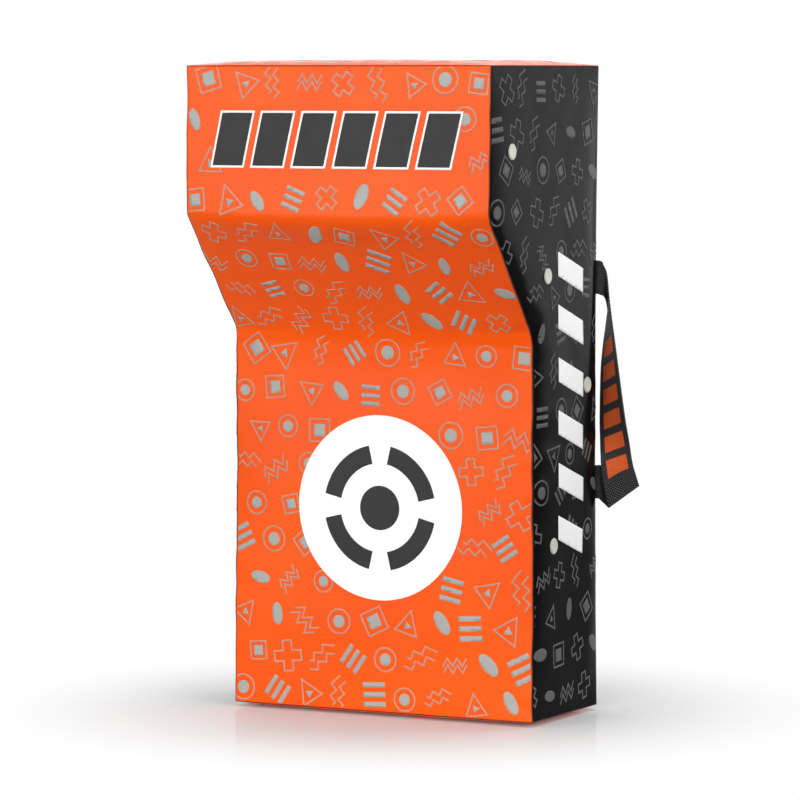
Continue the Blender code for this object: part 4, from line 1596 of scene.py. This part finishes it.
    def print_motifs(self, panel: Panel, name: str, seed: int, area: tuple[Spot, Spot], style: MotifStyle,
                     allowed: Callable[[float, float], bool]) -> None:
        """Print scattered motifs on a panel.

        Args:
            panel: The panel.
            name: The start of the pieces' names.
            seed: The seed of the scatter.
            area: The limits of both measures between which the motifs stand.
            style: The motifs' size and inks.
            allowed: Tells whether a motif may stand at a spot.
        """
        chance, kinds = random.Random(seed), list(Motif)
        fills, lines = FlatShape(), FlatShape()
        most, change = style.greatest_turn, style.size_change
        for number, spot in enumerate(self.spots(chance, *area)):
            turn = chance.uniform(-most, most)
            size = style.size * chance.uniform(1 - change, 1 + change)
            kind = kinds[(number * 5 + chance.randrange(2)) % len(kinds)]
            if allowed(*spot):
                kind.value.draw(fills, lines, style.line_width, spot, turn, size)
        for drawing in (fills, lines):
            for axis, (low, high) in enumerate((panel.sides, panel.ends)):
                drawing.clip(axis, low + self.seam_margin, high - self.seam_margin)
            if isinstance(panel, SidePanel):
                drawing.clip_front(self.printer.net, lambda b: self.side_edge(panel, b))
        self.printer.lay(name + "_motif_fills", fills, panel, style.fill_ink, self.motif_fill_lift)
        self.printer.lay(name + "_motif_lines", lines, panel, style.line_ink, self.motif_line_lift)

    def spots(self, chance: random.Random, across: Spot, up: Spot) -> list[Spot]:
        """Give loosely staggered spots over an area.

        Args:
            chance: The source of chance.
            across: The limits of the first measure.
            up: The limits of the second measure.

        Returns:
            The spots, row by row.
        """
        rows = max(1, round((up[1] - up[0]) / self.row_spacing))
        columns = max(1, round((across[1] - across[0]) / self.column_spacing))
        shake = self.column_spacing * self.shake_share
        found = []
        for row in range(rows):
            shift = 0.5 + (self.stagger if row % 2 else -self.stagger)
            b = mix(*up, (row + 0.5) / rows)
            for column in range(columns):
                a = mix(*across, (column + shift) / columns)
                found.append((a + chance.uniform(-shake, shake), b + chance.uniform(-shake, shake)))
        return found


# ---- Handles and studs ----


@dataclass
class Handle:
    """One webbing handle: two sewn ends on the back and the loop that swings on the corner seam."""

    shop: Workshop
    form: BodyForm
    side: Side
    width: float = 0.040
    thickness: float = 0.0018
    edge_radius: float = 0.0005
    foot_height: float = 0.2489
    span: float = 0.2851
    reach: float = 0.040
    pivot_out: float = 0.0013
    pivot_behind: float = 0.0032
    fold_radius: float = 0.0026
    fold_angle: float = 149.0
    fold_steps: int = 8
    tab_length: float = 0.055
    tab_steps: int = 6
    tab_setback: float = 0.0004
    seat_gap: float = 0.0003
    end_overrun: float = 0.0005
    blend_behind: float = 0.003
    blend_ahead: float = 0.001
    columns: int = 10
    steps_between: int = 5
    curve_steps: int = 20
    stitch_pitch: float = 0.0042
    stitch_gap_share: float = 0.14
    stitch_radius: float = 0.0004
    stitch_lift: float = 0.0001
    stitch_inset: float = 0.005
    stitch_near: float = 0.011
    stitch_far: float = 0.006

    STATIONS = (
        ((0.105, 0.152, 0.925), (0.02, -0.06, 1.02)), ((0.138, 0.200, 0.919), (0.05, -0.15, 0.96)),
        ((0.169, 0.319, 0.898), (0.11, -0.26, 0.90)), ((0.161, 0.450, 0.862), (0.20, -0.45, 0.83)),
        ((0.133, 0.570, 0.824), (0.31, -0.66, 0.69)), ((0.106, 0.642, 0.784), (0.46, -0.81, 0.47)),
        ((0.131, 0.632, 0.723), (0.58, -0.81, 0.20)), ((0.161, 0.598, 0.647), (0.70, -0.71, 0.03)),
        ((0.199, 0.551, 0.544), (0.82, -0.57, 0.05)), ((0.306, 0.532, 0.335), (0.96, -0.30, 0.02)),
        ((0.394, 0.510, 0.234), (0.94, 0.03, 0.02)), ((0.466, 0.437, 0.181), (0.86, 0.33, 0.02)),
        ((0.544, 0.369, 0.135), (0.76, 0.64, -0.02)), ((0.598, 0.450, 0.072), (0.72, 0.72, 0.32)),
        ((0.669, 0.544, 0.013), (0.64, 0.76, 0.62)),
    )
    RETURN_STATIONS = (((0.188, 0.369, 0.048), (0.07, 0.16, 1.02)), ((0.062, 0.130, 0.070), (0.01, 0.03, 1.00)))

    def pivot(self) -> Vector:
        """Give the point of the swing axis at the loop's foot, on the right side."""
        seam = Vector((self.form.half_width, self.form.lower_depth, self.foot_height + self.span))
        corner = self.form.plump(seam)
        return Vector((corner.x + self.pivot_out, corner.y + self.pivot_behind,
                       self.foot_height + self.form.seam_lift))

    def ruling(self, station: tuple) -> Ruling:
        """Give the two edge points of the loop at a station, relative to the pivot."""
        (out, behind, rise), direction = station
        middle = Vector((out * self.reach - self.pivot_out, behind * self.reach - self.pivot_behind,
                         rise * self.span))
        half = Vector(direction) * (self.width / 2)
        return middle - half, middle + half

    def sewn_ruling(self, neighbour: Ruling, height: float) -> Ruling:
        """Give the loop's end next to a ruling, upright and just past the axis."""
        past = (neighbour[0] + neighbour[1]).to_2d().normalized() * -self.end_overrun
        return Vector((past.x, past.y, height - self.width)), Vector((past.x, past.y, height))

    def tab_rulings(self, height: float) -> list[Ruling]:
        """Give the edge points of a sewn end, from its free end to near the axis.

        Args:
            height: The height of its upper edge above the loop's foot.

        Returns:
            The edge points.
        """
        pivot = self.pivot()
        near = self.form.half_width + self.pivot_out - self.tab_setback
        y = self.form.lower_depth + self.seat_gap + self.thickness / 2
        rulings = []
        for step in range(self.tab_steps):
            x = near - self.tab_length * (1 - step / self.tab_steps)
            rulings.append(tuple(self.form.plump(Vector((x, y, self.foot_height + level))) - pivot
                                 for level in (height - self.width, height)))
        return rulings

    def rulings(self) -> list[Ruling]:
        """Give all edge points of the strap, relative to the pivot.

        Returns:
            The edge points from the upper sewn end to the lower one.
        """
        going = [self.ruling(station) for station in self.STATIONS]
        coming = [self.ruling(station) for station in self.RETURN_STATIONS]
        inner, outer = going[-1]
        axis = (outer - inner).normalized()
        heading = (inner + outer) / 2 - (going[-2][0] + going[-2][1]) / 2
        heading -= axis * heading.dot(axis)
        centre = axis.cross(heading.normalized()) * self.fold_radius
        folded = []
        for step in range(1, self.fold_steps + 1):
            turn = Matrix.Rotation(math.radians(self.fold_angle) * step / self.fold_steps, 3, axis)
            shift = centre - turn @ centre
            folded.append((inner + shift, outer + shift))
        return [*self.tab_rulings(self.span), self.sewn_ruling(going[0], self.span), *going, *folded, *coming,
                self.sewn_ruling(coming[-1], self.width), *reversed(self.tab_rulings(self.width))]

    def smooth(self, rulings: list[Ruling]) -> list[Ruling]:
        """Curve smoothly through the edge points.

        Args:
            rulings: The given edge points.

        Returns:
            Closer spaced edge points through them.
        """
        last = len(rulings) - 1
        fine = []
        for number in range(last):
            keys = [rulings[min(last, max(0, number + shift))] for shift in (-1, 0, 1, 2)]
            for step in range(self.steps_between):
                share = step / self.steps_between
                fine.append(tuple(self.curve_point([key[end] for key in keys], share) for end in (0, 1)))
        fine.append(rulings[-1])
        return fine

    def curve_point(self, keys: list[Vector], share: float) -> Vector:
        """Give a point on the curve between the middle two of four points.

        Args:
            keys: The four points.
            share: How far along the curve it lies, from 0 to 1.

        Returns:
            The point.
        """
        before, start, end, after = keys
        length = (end - start).length
        lead = (end - before) * (length / max(1e-9, length + (start - before).length))
        tail = (after - start) * (length / max(1e-9, (after - end).length + length))
        curve = interpolate_bezier(start, start + lead / 3, end - tail / 3, end, self.curve_steps + 1)
        return curve[round(share * self.curve_steps)]

    def build(self) -> None:
        """Build the webbing and the stitching of its ends."""
        rulings = self.smooth(self.rulings())
        pivot, turn, label = self.pivot(), self.side.value, self.side.label
        middles = [(inner + outer) / 2 for inner, outer in rulings]
        runs = [0.0]
        for before, after in zip(middles, middles[1:]):
            runs.append(runs[-1] + (after - before).length)
        shape = bmesh.new()
        bmesh.ops.create_grid(shape, x_segments=self.columns, y_segments=len(rulings) - 1, size=1.0)
        chart = shape.loops.layers.uv.new(STRAP_MAP)
        for vertex in shape.verts:
            column = (vertex.co.x + 1) / 2
            row = round((vertex.co.y + 1) / 2 * (len(rulings) - 1))
            for loop in vertex.link_loops:
                loop[chart].uv = (column * self.width, runs[row])
            inner, outer = rulings[row]
            place = pivot + inner.lerp(outer, column)
            vertex.co = (turn * place.x, place.y, place.z)
        if self.side is Side.RIGHT:
            bmesh.ops.reverse_faces(shape, faces=shape.faces)
        LOG.info("strap length %.4f", runs[-1])
        piece = self.shop.piece(label + "_handle_webbing", shape, "black_webbing", "webbing", None)
        self.shop.thicken(piece, self.thickness, 0.0)
        edges = piece.modifiers.new("soft_edges", "BEVEL")
        edges.width, edges.segments = self.edge_radius, 2
        edges.limit_method, edges.angle_limit = "ANGLE", math.radians(60)
        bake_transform(piece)
        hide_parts(label + "_handle_loop", label + "_handle_upper_tab", label + "_handle_lower_tab")
        self.build_stitching()

    def build_stitching(self) -> None:
        """Build the boxed cross of stitches on both sewn ends."""
        near = self.form.half_width - self.stitch_near
        far = self.form.half_width + self.pivot_out - self.tab_setback - self.tab_length + self.stitch_far
        shape = bmesh.new()
        for top in (self.foot_height + self.span, self.foot_height + self.width):
            high, low = top - self.stitch_inset, top - self.width + self.stitch_inset
            corners = [(near, low), (near, high), (far, high), (far, low)]
            runs = [*zip(corners, corners[1:] + corners[:1]), (corners[0], corners[2]), (corners[1], corners[3])]
            for start, end in runs:
                self.add_stitches(shape, start, end)
        bmesh.ops.recalc_face_normals(shape, faces=shape.faces)
        self.shop.piece(self.side.label + "_handle_stitches", shape, "stitch_thread", "webbing", Body.SHIELD)

    def add_stitches(self, shape: bmesh.types.BMesh, start: Spot, end: Spot) -> None:
        """Add a row of stitches on a sewn end.

        Args:
            shape: The mesh that they are added to.
            start: The row's first plain box measures (x, z).
            end: Its last.
        """
        count = round(math.dist(start, end) / self.stitch_pitch)
        y = self.form.lower_depth + self.seat_gap + self.thickness + self.stitch_lift
        for number in range(count):
            ends = []
            for share in (number + self.stitch_gap_share, number + 1 - self.stitch_gap_share):
                x, z = mix(start[0], end[0], share / count), mix(start[1], end[1], share / count)
                place = self.form.plump(Vector((x, y, z)))
                place.x *= self.side.value
                ends.append(place)
            sweep_round(shape, ends, self.stitch_radius, 6)


@dataclass
class Stud:
    """A moulded stud through the side panel, with its washer inside."""

    shop: Workshop
    panel: SidePanel
    radius: float = 0.0095
    height: float = 0.0017
    rim: float = 0.0007
    dish: float = 0.0003
    softness: float = 0.0002
    barrel_radius: float = 0.0030
    washer_radius: float = 0.0070
    washer_depth: float = 0.0013
    washer_thickness: float = 0.0006
    sides: int = 40
    places: tuple[Spot, ...] = (
        (-0.06427, 0.66703), (0.02797, 0.52103), (0.13801, 0.38798), (0.044, 0.20399),
    )

    def profile(self) -> list[Spot]:
        """Give the half section of the stud and its washer.

        Returns:
            Radius and height from the face's middle to the washer's middle.
        """
        washer_low = -self.washer_depth - self.washer_thickness
        soft, shoulder = self.softness, self.height - self.rim
        return [
            (0.0, self.height - self.dish), (self.radius * 0.55, self.height - 0.00025),
            (self.radius * 0.72, self.height - 0.0001), (self.radius * 0.80, self.height),
            (self.radius * 0.90, self.height - 0.0001), (self.radius - soft, shoulder),
            (self.radius, shoulder - 2 * soft), (self.radius, soft), (self.barrel_radius, soft),
            (self.barrel_radius, -self.washer_depth), (self.washer_radius, -self.washer_depth),
            (self.washer_radius, washer_low), (0.0, washer_low),
        ]

    def build(self) -> None:
        """Build the side's four studs."""
        for number, place in enumerate(self.places, start=1):
            self.build_stud(number, place)

    def build_stud(self, number: int, place: Spot) -> None:
        """Build a stud.

        Args:
            number: Its number on its side.
            place: Its plain box measures (y, z).
        """
        shape = bmesh.new()
        line = [shape.verts.new((radius, 0.0, height)) for radius, height in self.profile()]
        edges = [shape.edges.new(pair) for pair in zip(line, line[1:])]
        bmesh.ops.spin(shape, geom=[*line, *edges], cent=(0, 0, 0), axis=(0, 0, 1), angle=math.tau,
                       steps=self.sides, use_merge=True)
        bmesh.ops.remove_doubles(shape, verts=shape.verts, dist=1e-6)
        a, b = place
        panel, step = self.panel, self.panel.step_across
        along = panel.point(a + step, b) - panel.point(a - step, b)
        upward = panel.point(a, b + step) - panel.point(a, b - step)
        normal = along.cross(upward).normalized()
        if normal.dot(panel.outward(a, b)) < 0:
            normal.negate()
        spot, turn = panel.point(a, b), normal.to_track_quat("Z", "Y").to_matrix()
        for vertex in shape.verts:
            vertex.co = spot + turn @ vertex.co
        bmesh.ops.recalc_face_normals(shape, faces=shape.faces)
        label = panel.side.label
        piece = self.shop.piece(f"{label}_stud_{number}_turned", shape, "stud_plastic", "stud", Body.SHIELD, 35.0)
        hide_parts(f"{label}_stud_{number}", f"{label}_stud_washer_{number}")


# ---- Zip ----


@dataclass
class Zip:
    """The zip down the back: woven tapes, moulded teeth, stops, slider and pull."""

    shop: Workshop
    form: BodyForm
    foot: float = 0.083
    length: float = 0.600
    cloth_thickness: float = 0.001
    tape_width: float = 0.020
    tape_thickness: float = 0.0007
    tape_cells: tuple[int, int] = (6, 100)
    gap: float = 0.0003
    chain_width: float = 0.0080
    chain_thickness: float = 0.0018
    spine_width: float = 0.0022
    bead_radius: float = 0.0008
    pitch: float = 0.008
    tooth_setback: float = 0.0002
    tooth_edge: float = 0.0004
    metal_edge: float = 0.0005
    stop_length: float = 0.006
    slider_length: float = 0.020
    plate_thickness: float = 0.0014
    flange_width: float = 0.0016
    lug_in: float = 0.0042
    lug_out: float = 0.0054
    lug_half: float = 0.0022
    lug_root: float = 0.0004
    pin_radius: float = 0.0009
    pin_half: float = 0.0050
    pin_standoff: float = 0.0029
    pin_setback: float = 0.0029
    bore_gap: float = 0.0004
    eye_sides: int = 28
    pull_length: float = 0.032
    pull_width: float = 0.0072
    pull_thickness: float = 0.0016
    panel_share: float = 0.55
    panel_head_share: float = 0.42
    panel_foot_share: float = 0.9
    panel_rise: float = 0.0001

    def __post_init__(self) -> None:
        """Work out the levels of the tapes, the teeth and the slider."""
        self.base = self.foot + self.form.seam_lift
        self.tape_face = self.form.lower_depth - self.cloth_thickness - self.gap - self.form.origin_depth
        self.chain_low = self.tape_face + self.gap
        self.chain_high = self.chain_low + self.chain_thickness
        self.plate_high = self.chain_high + self.gap + self.plate_thickness
        self.slider_foot = self.base + self.stop_length + 3 * self.gap
        pin_height = self.slider_foot + self.slider_length - self.pin_setback
        self.pin = Vector((0.0, self.plate_high + self.pin_standoff, pin_height))

    def build(self) -> None:
        """Build every piece of the zip."""
        foot, head = self.base + self.gap, self.base + self.length - self.gap
        half = self.chain_width / 2
        for side in Side:
            self.build_tape(side)
            self.build_teeth(side)
            self.build_stop(side.label + "_zip_stop", side.span(self.gap, half), foot, foot + self.stop_length)
        self.build_stop("zip_end_stop", (-half, half), head - self.stop_length, head)
        self.build_slider()
        self.build_pull()

    def build_tape(self, side: Side) -> None:
        """Build one woven tape.

        Args:
            side: The side that it lies on.
        """
        shape = bmesh.new()
        across_cells, along_cells = self.tape_cells
        bmesh.ops.create_grid(shape, x_segments=across_cells, y_segments=along_cells, size=1.0)
        chart = shape.loops.layers.uv.new(STRAP_MAP)
        low, high = self.base - self.stop_length, self.base + self.length + self.stop_length
        for vertex in shape.verts:
            x = self.gap + (vertex.co.x + 1) / 2 * self.tape_width
            z = mix(low, high, (vertex.co.y + 1) / 2)
            for loop in vertex.link_loops:
                loop[chart].uv = (x, z)
            vertex.co = (side.value * x, self.tape_face, z)
        if side is Side.RIGHT:
            bmesh.ops.reverse_faces(shape, faces=shape.faces)
        name = side.label + "_zip_tape"
        piece = self.shop.piece(name + "_woven", shape, "zip_tape_weave", "zip_tape", Body.SHIELD)
        self.shop.thicken(piece, self.tape_thickness, -1.0)
        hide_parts(name)

    def build_teeth(self, side: Side) -> None:
        """Build one row of teeth on its bead.

        Args:
            side: The side that it lies on.
        """
        shape = bmesh.new()
        start = self.base + self.stop_length + 2 * self.gap
        count = int((self.length - 2 * (self.stop_length + 2 * self.gap)) / self.pitch)
        outer = self.chain_width / 2
        left, right = side.span(self.gap - (outer - self.spine_width), outer - self.tooth_setback)
        for number in range(count):
            shift = number + (0.5 if side is Side.RIGHT else 0.0)
            low = start + shift * self.pitch + self.gap / 2
            high = low + self.pitch / 2 - self.gap
            add_box(shape, (left, self.chain_low, low), (right, self.chain_high, high), self.tooth_edge, 1)
        x = side.value * (outer - self.spine_width / 2)
        y = (self.chain_low + self.chain_high) / 2
        places = [Vector((x, y, mix(start, start + count * self.pitch, step / 8))) for step in range(9)]
        sweep_round(shape, places, self.bead_radius, 8)
        bmesh.ops.recalc_face_normals(shape, faces=shape.faces)
        name = side.label + "_zip_teeth"
        piece = self.shop.piece(name + "_row", shape, "zip_tooth_plastic", "zip_teeth", Body.SHIELD)
        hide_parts(name)

    def build_stop(self, node: str, across: Spot, low: float, high: float) -> None:
        """Build a stop's metal clip.

        Args:
            node: The node that it stands for.
            across: Its lower and upper X.
            low: Its lower Z.
            high: Its upper Z.
        """
        shape = bmesh.new()
        add_box(shape, (across[0], self.chain_low, low), (across[1], self.chain_high, high), self.metal_edge)
        piece = self.shop.piece(node + "_clip", shape, "zip_metal_plate", "zip_metal", Body.SHIELD)
        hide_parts(node)

    def build_slider(self) -> None:
        """Build the slider: a plate over the teeth, two flanges, two lugs and a pin."""
        foot, head = self.slider_foot, self.slider_foot + self.slider_length
        pin_depth, pin_height = self.pin.yz
        flange_in = self.chain_width / 2 + self.gap
        flange_out = flange_in + self.flange_width
        shape = bmesh.new()
        add_box(shape, (-flange_out, self.chain_high + self.gap, foot), (flange_out, self.plate_high, head),
                self.metal_edge)
        for side in Side:
            left, right = side.span(flange_in, flange_out)
            add_box(shape, (left, self.chain_low, foot), (right, self.plate_high - self.gap, head), self.tooth_edge)
            left, right = side.span(self.lug_in, self.lug_out)
            add_box(shape, (left, self.plate_high - self.lug_root, pin_height - self.lug_half),
                    (right, pin_depth + 2 * self.pin_radius, pin_height + self.lug_half), self.tooth_edge)
        ends = [self.pin + unit(0) * shift for shift in (-self.pin_half, self.pin_half)]
        sweep_round(shape, ends, self.pin_radius, 14)
        bmesh.ops.recalc_face_normals(shape, faces=shape.faces)
        piece = self.shop.piece("zip_slider_body", shape, "zip_metal_plate", "zip_metal", Body.SLIDER)
        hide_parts("zip_slider")

    def build_pull(self) -> None:
        """Build the pull: an eye round the pin and a plate that hangs from it."""
        shape = bmesh.new()
        bore = self.pin_radius + self.bore_gap
        wall, half = self.pull_thickness / 2, self.pull_width / 2
        section = bmesh.ops.create_grid(shape, x_segments=1, y_segments=1, size=1.0)["verts"]
        for vertex in section:
            vertex.co = (vertex.co.x * half, bore + wall / 2 + vertex.co.y * wall / 2, 0.0)
        bmesh.ops.spin(shape, geom=shape.verts[:] + shape.edges[:] + shape.faces[:], cent=(0, 0, 0),
                       axis=(1, 0, 0), angle=math.tau, steps=self.eye_sides, use_merge=True)
        bmesh.ops.remove_doubles(shape, verts=shape.verts, dist=1e-6)
        inner = [face for face in shape.faces if abs(face.normal.x) < 0.01 and len(face.verts) == 4
                 and all(abs(vertex.co.y) < 1e-9 for vertex in face.verts)]
        bmesh.ops.delete(shape, geom=inner, context="FACES_ONLY")
        add_box(shape, (-half, -wall, -self.pull_length), (half, wall, -bore - wall / 2), self.metal_edge)
        inset, rise = half * self.panel_share, wall + self.panel_rise
        add_box(shape, (-inset, -rise, -self.pull_length * self.panel_foot_share),
                (inset, rise, -self.pull_length * self.panel_head_share), self.panel_rise, 1)
        bmesh.ops.translate(shape, verts=shape.verts, vec=self.pin)
        bmesh.ops.recalc_face_normals(shape, faces=shape.faces)
        piece = self.shop.piece("zip_pull_plate", shape, "zip_metal_plate", "zip_metal", Body.PULL)
        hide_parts("zip_pull_tab")


# ---- Studio ----


@dataclass(frozen=True)
class SoftBox:
    """A soft rectangular studio light."""

    name: str
    place: Place
    aim: Place
    size: Spot
    power: float

    def build(self) -> None:
        """Hang the light."""
        lamp = bpy.data.lights.new(self.name, "AREA")
        lamp.shape = "RECTANGLE"
        lamp.size, lamp.size_y = self.size
        lamp.energy = self.power
        holder = bpy.data.objects.new(self.name, lamp)
        bpy.context.scene.collection.objects.link(holder)
        holder.location = self.place
        holder.rotation_euler = (Vector(self.aim) - Vector(self.place)).to_track_quat("-Z", "Y").to_euler()
        holder.visible_camera = False


@dataclass
class Studio:
    """A pale floor, a white background, soft lights and the camera."""

    camera_place: Place = (2.459, -4.710, 0.761)
    camera_fall: float = 4.17
    camera_turn: float = 27.573
    lens: float = 201.3
    floor_size: float = 30.0
    floor_gap: float = 0.0003
    ambient: float = 0.10
    floor_bounce: float = 0.80
    floor_tone: float = 0.68
    floor_glow: float = 0.05
    floor_roughness: float = 0.6
    mirror_share: float = 0.07
    mirror_roughness: float = 0.06
    floor_middle: Place = (0.0, 0.04, 0.0)
    fade_start: float = 0.18
    fade_end: float = 0.54
    softboxes: tuple[SoftBox, ...] = (
        SoftBox("front_softbox", (-1.12, -2.35, 0.74), (0.0, -0.1, 0.6), (1.6, 1.5), 32.0),
        SoftBox("fill_softbox", (0.8, -4.9, 1.2), (0.1, -0.1, 0.4), (1.4, 1.4), 88.0),
        SoftBox("right_softbox", (4.1, -1.6, 1.5), (0.1, 0.0, 0.4), (2.0, 2.0), 84.0),
        SoftBox("rear_softbox", (-2.4, 4.7, 1.3), (0.0, 0.0, 0.7), (3.2, 1.6), 14.0),
        SoftBox("top_softbox", (0.0, 0.2, 3.2), (0.0, 0.0, 0.0), (3.2, 3.2), 84.0),
        SoftBox("side_softbox", (2.3, 3.2, 0.92), (0.2, 0.0, 0.55), (3.2, 1.7), 52.0),
    )

    def build(self) -> None:
        """Build the studio."""
        self.build_camera()
        self.build_world()
        self.build_floor()
        for light in self.softboxes:
            light.build()

    def build_camera(self) -> None:
        """Set up the camera."""
        scene = bpy.context.scene
        data = bpy.data.cameras.new("camera")
        data.lens = self.lens
        data.sensor_width = 36.0
        data.clip_end = 100.0
        camera = bpy.data.objects.new("camera", data)
        camera.location = self.camera_place
        camera.rotation_euler = (math.radians(90 - self.camera_fall), 0.0, math.radians(self.camera_turn))
        scene.collection.objects.link(camera)
        scene.camera = camera
        scene.view_settings.view_transform = "Standard"

    def build_world(self) -> None:
        """Build the white background and the even light of the room."""
        world = bpy.data.worlds.new("studio")
        world.use_nodes = True
        bpy.context.scene.world = world
        sheet = NodeSheet(world.node_tree)
        background = world.node_tree.nodes["Background"].inputs
        sheet.fill(background["Color"], WHITE)
        sheet.fill(background["Strength"], sheet.spread(self.seen(sheet), self.ambient, 1.0))

    def seen(self, sheet: NodeSheet) -> Socket:
        """Give a socket that is one where the lens sees a surface, straight or in gloss or glass."""
        path = sheet.add("ShaderNodeLightPath").outputs
        straight = sheet.math("MAXIMUM", path["Is Camera Ray"], path["Is Glossy Ray"])
        return sheet.math("MAXIMUM", straight, path["Is Transmission Ray"])

    def build_floor(self) -> None:
        """Build the floor."""
        shape = bmesh.new()
        bmesh.ops.create_grid(shape, x_segments=1, y_segments=1, size=self.floor_size / 2)
        bmesh.ops.translate(shape, verts=shape.verts, vec=(0.0, 0.0, -self.floor_gap))
        mesh = bpy.data.meshes.new("studio_floor")
        shape.to_mesh(mesh)
        shape.free()
        mesh.materials.append(self.floor_material())
        floor = bpy.data.objects.new("studio_floor", mesh)
        bpy.context.scene.collection.objects.link(floor)

    def floor_material(self) -> bpy.types.Material:
        """Build the pale, faintly glossy floor, which fades to white away from the shield.

        Returns:
            The material.
        """
        material, sheet, shader = start_material("studio_floor")
        seen = self.seen(sheet)
        tones = [(level, level, level, 1.0) for level in (self.floor_bounce, self.floor_tone)]
        for key, value in (
            ("Base Color", sheet.blend(seen, *tones)), ("Emission Color", WHITE),
            ("Emission Strength", sheet.math("MULTIPLY", seen, self.floor_glow)),
            ("Roughness", self.floor_roughness), ("Specular IOR Level", 0.0),
        ):
            sheet.fill(shader.inputs[key], value)
        distance = sheet.add("ShaderNodeVectorMath", {0: sheet.place(), 1: self.floor_middle}, operation="DISTANCE")
        fade = sheet.ramp(distance.outputs["Value"], self.fade_start, self.fade_end)
        mirror = sheet.add("ShaderNodeBsdfGlossy", {"Roughness": self.mirror_roughness})
        glow = sheet.add("ShaderNodeEmission", {"Strength": sheet.spread(seen, self.ambient, 1.0)})
        glossed = sheet.add("ShaderNodeMixShader", {0: self.mirror_share, 1: shader.outputs[0], 2: mirror.outputs[0]})
        white = sheet.add("ShaderNodeMixShader", {0: fade, 1: glossed.outputs[0], 2: glow.outputs[0]})
        sheet.fill(sheet.tree.nodes["Material Output"].inputs["Surface"], white.outputs[0])
        return material


def main() -> None:
    """Build the shield and its studio."""
    workshop = Workshop()
    Studio().build()
    cover = Cover(workshop)
    cover.build()
    Artwork(Printer(workshop), cover).build()
    for side, panel in ((Side.RIGHT, cover.right), (Side.LEFT, cover.left)):
        Handle(workshop, cover.form, side).build()
        Stud(workshop, panel).build()
    Zip(workshop, cover.form).build()


if __name__ == "__main__":
    main()
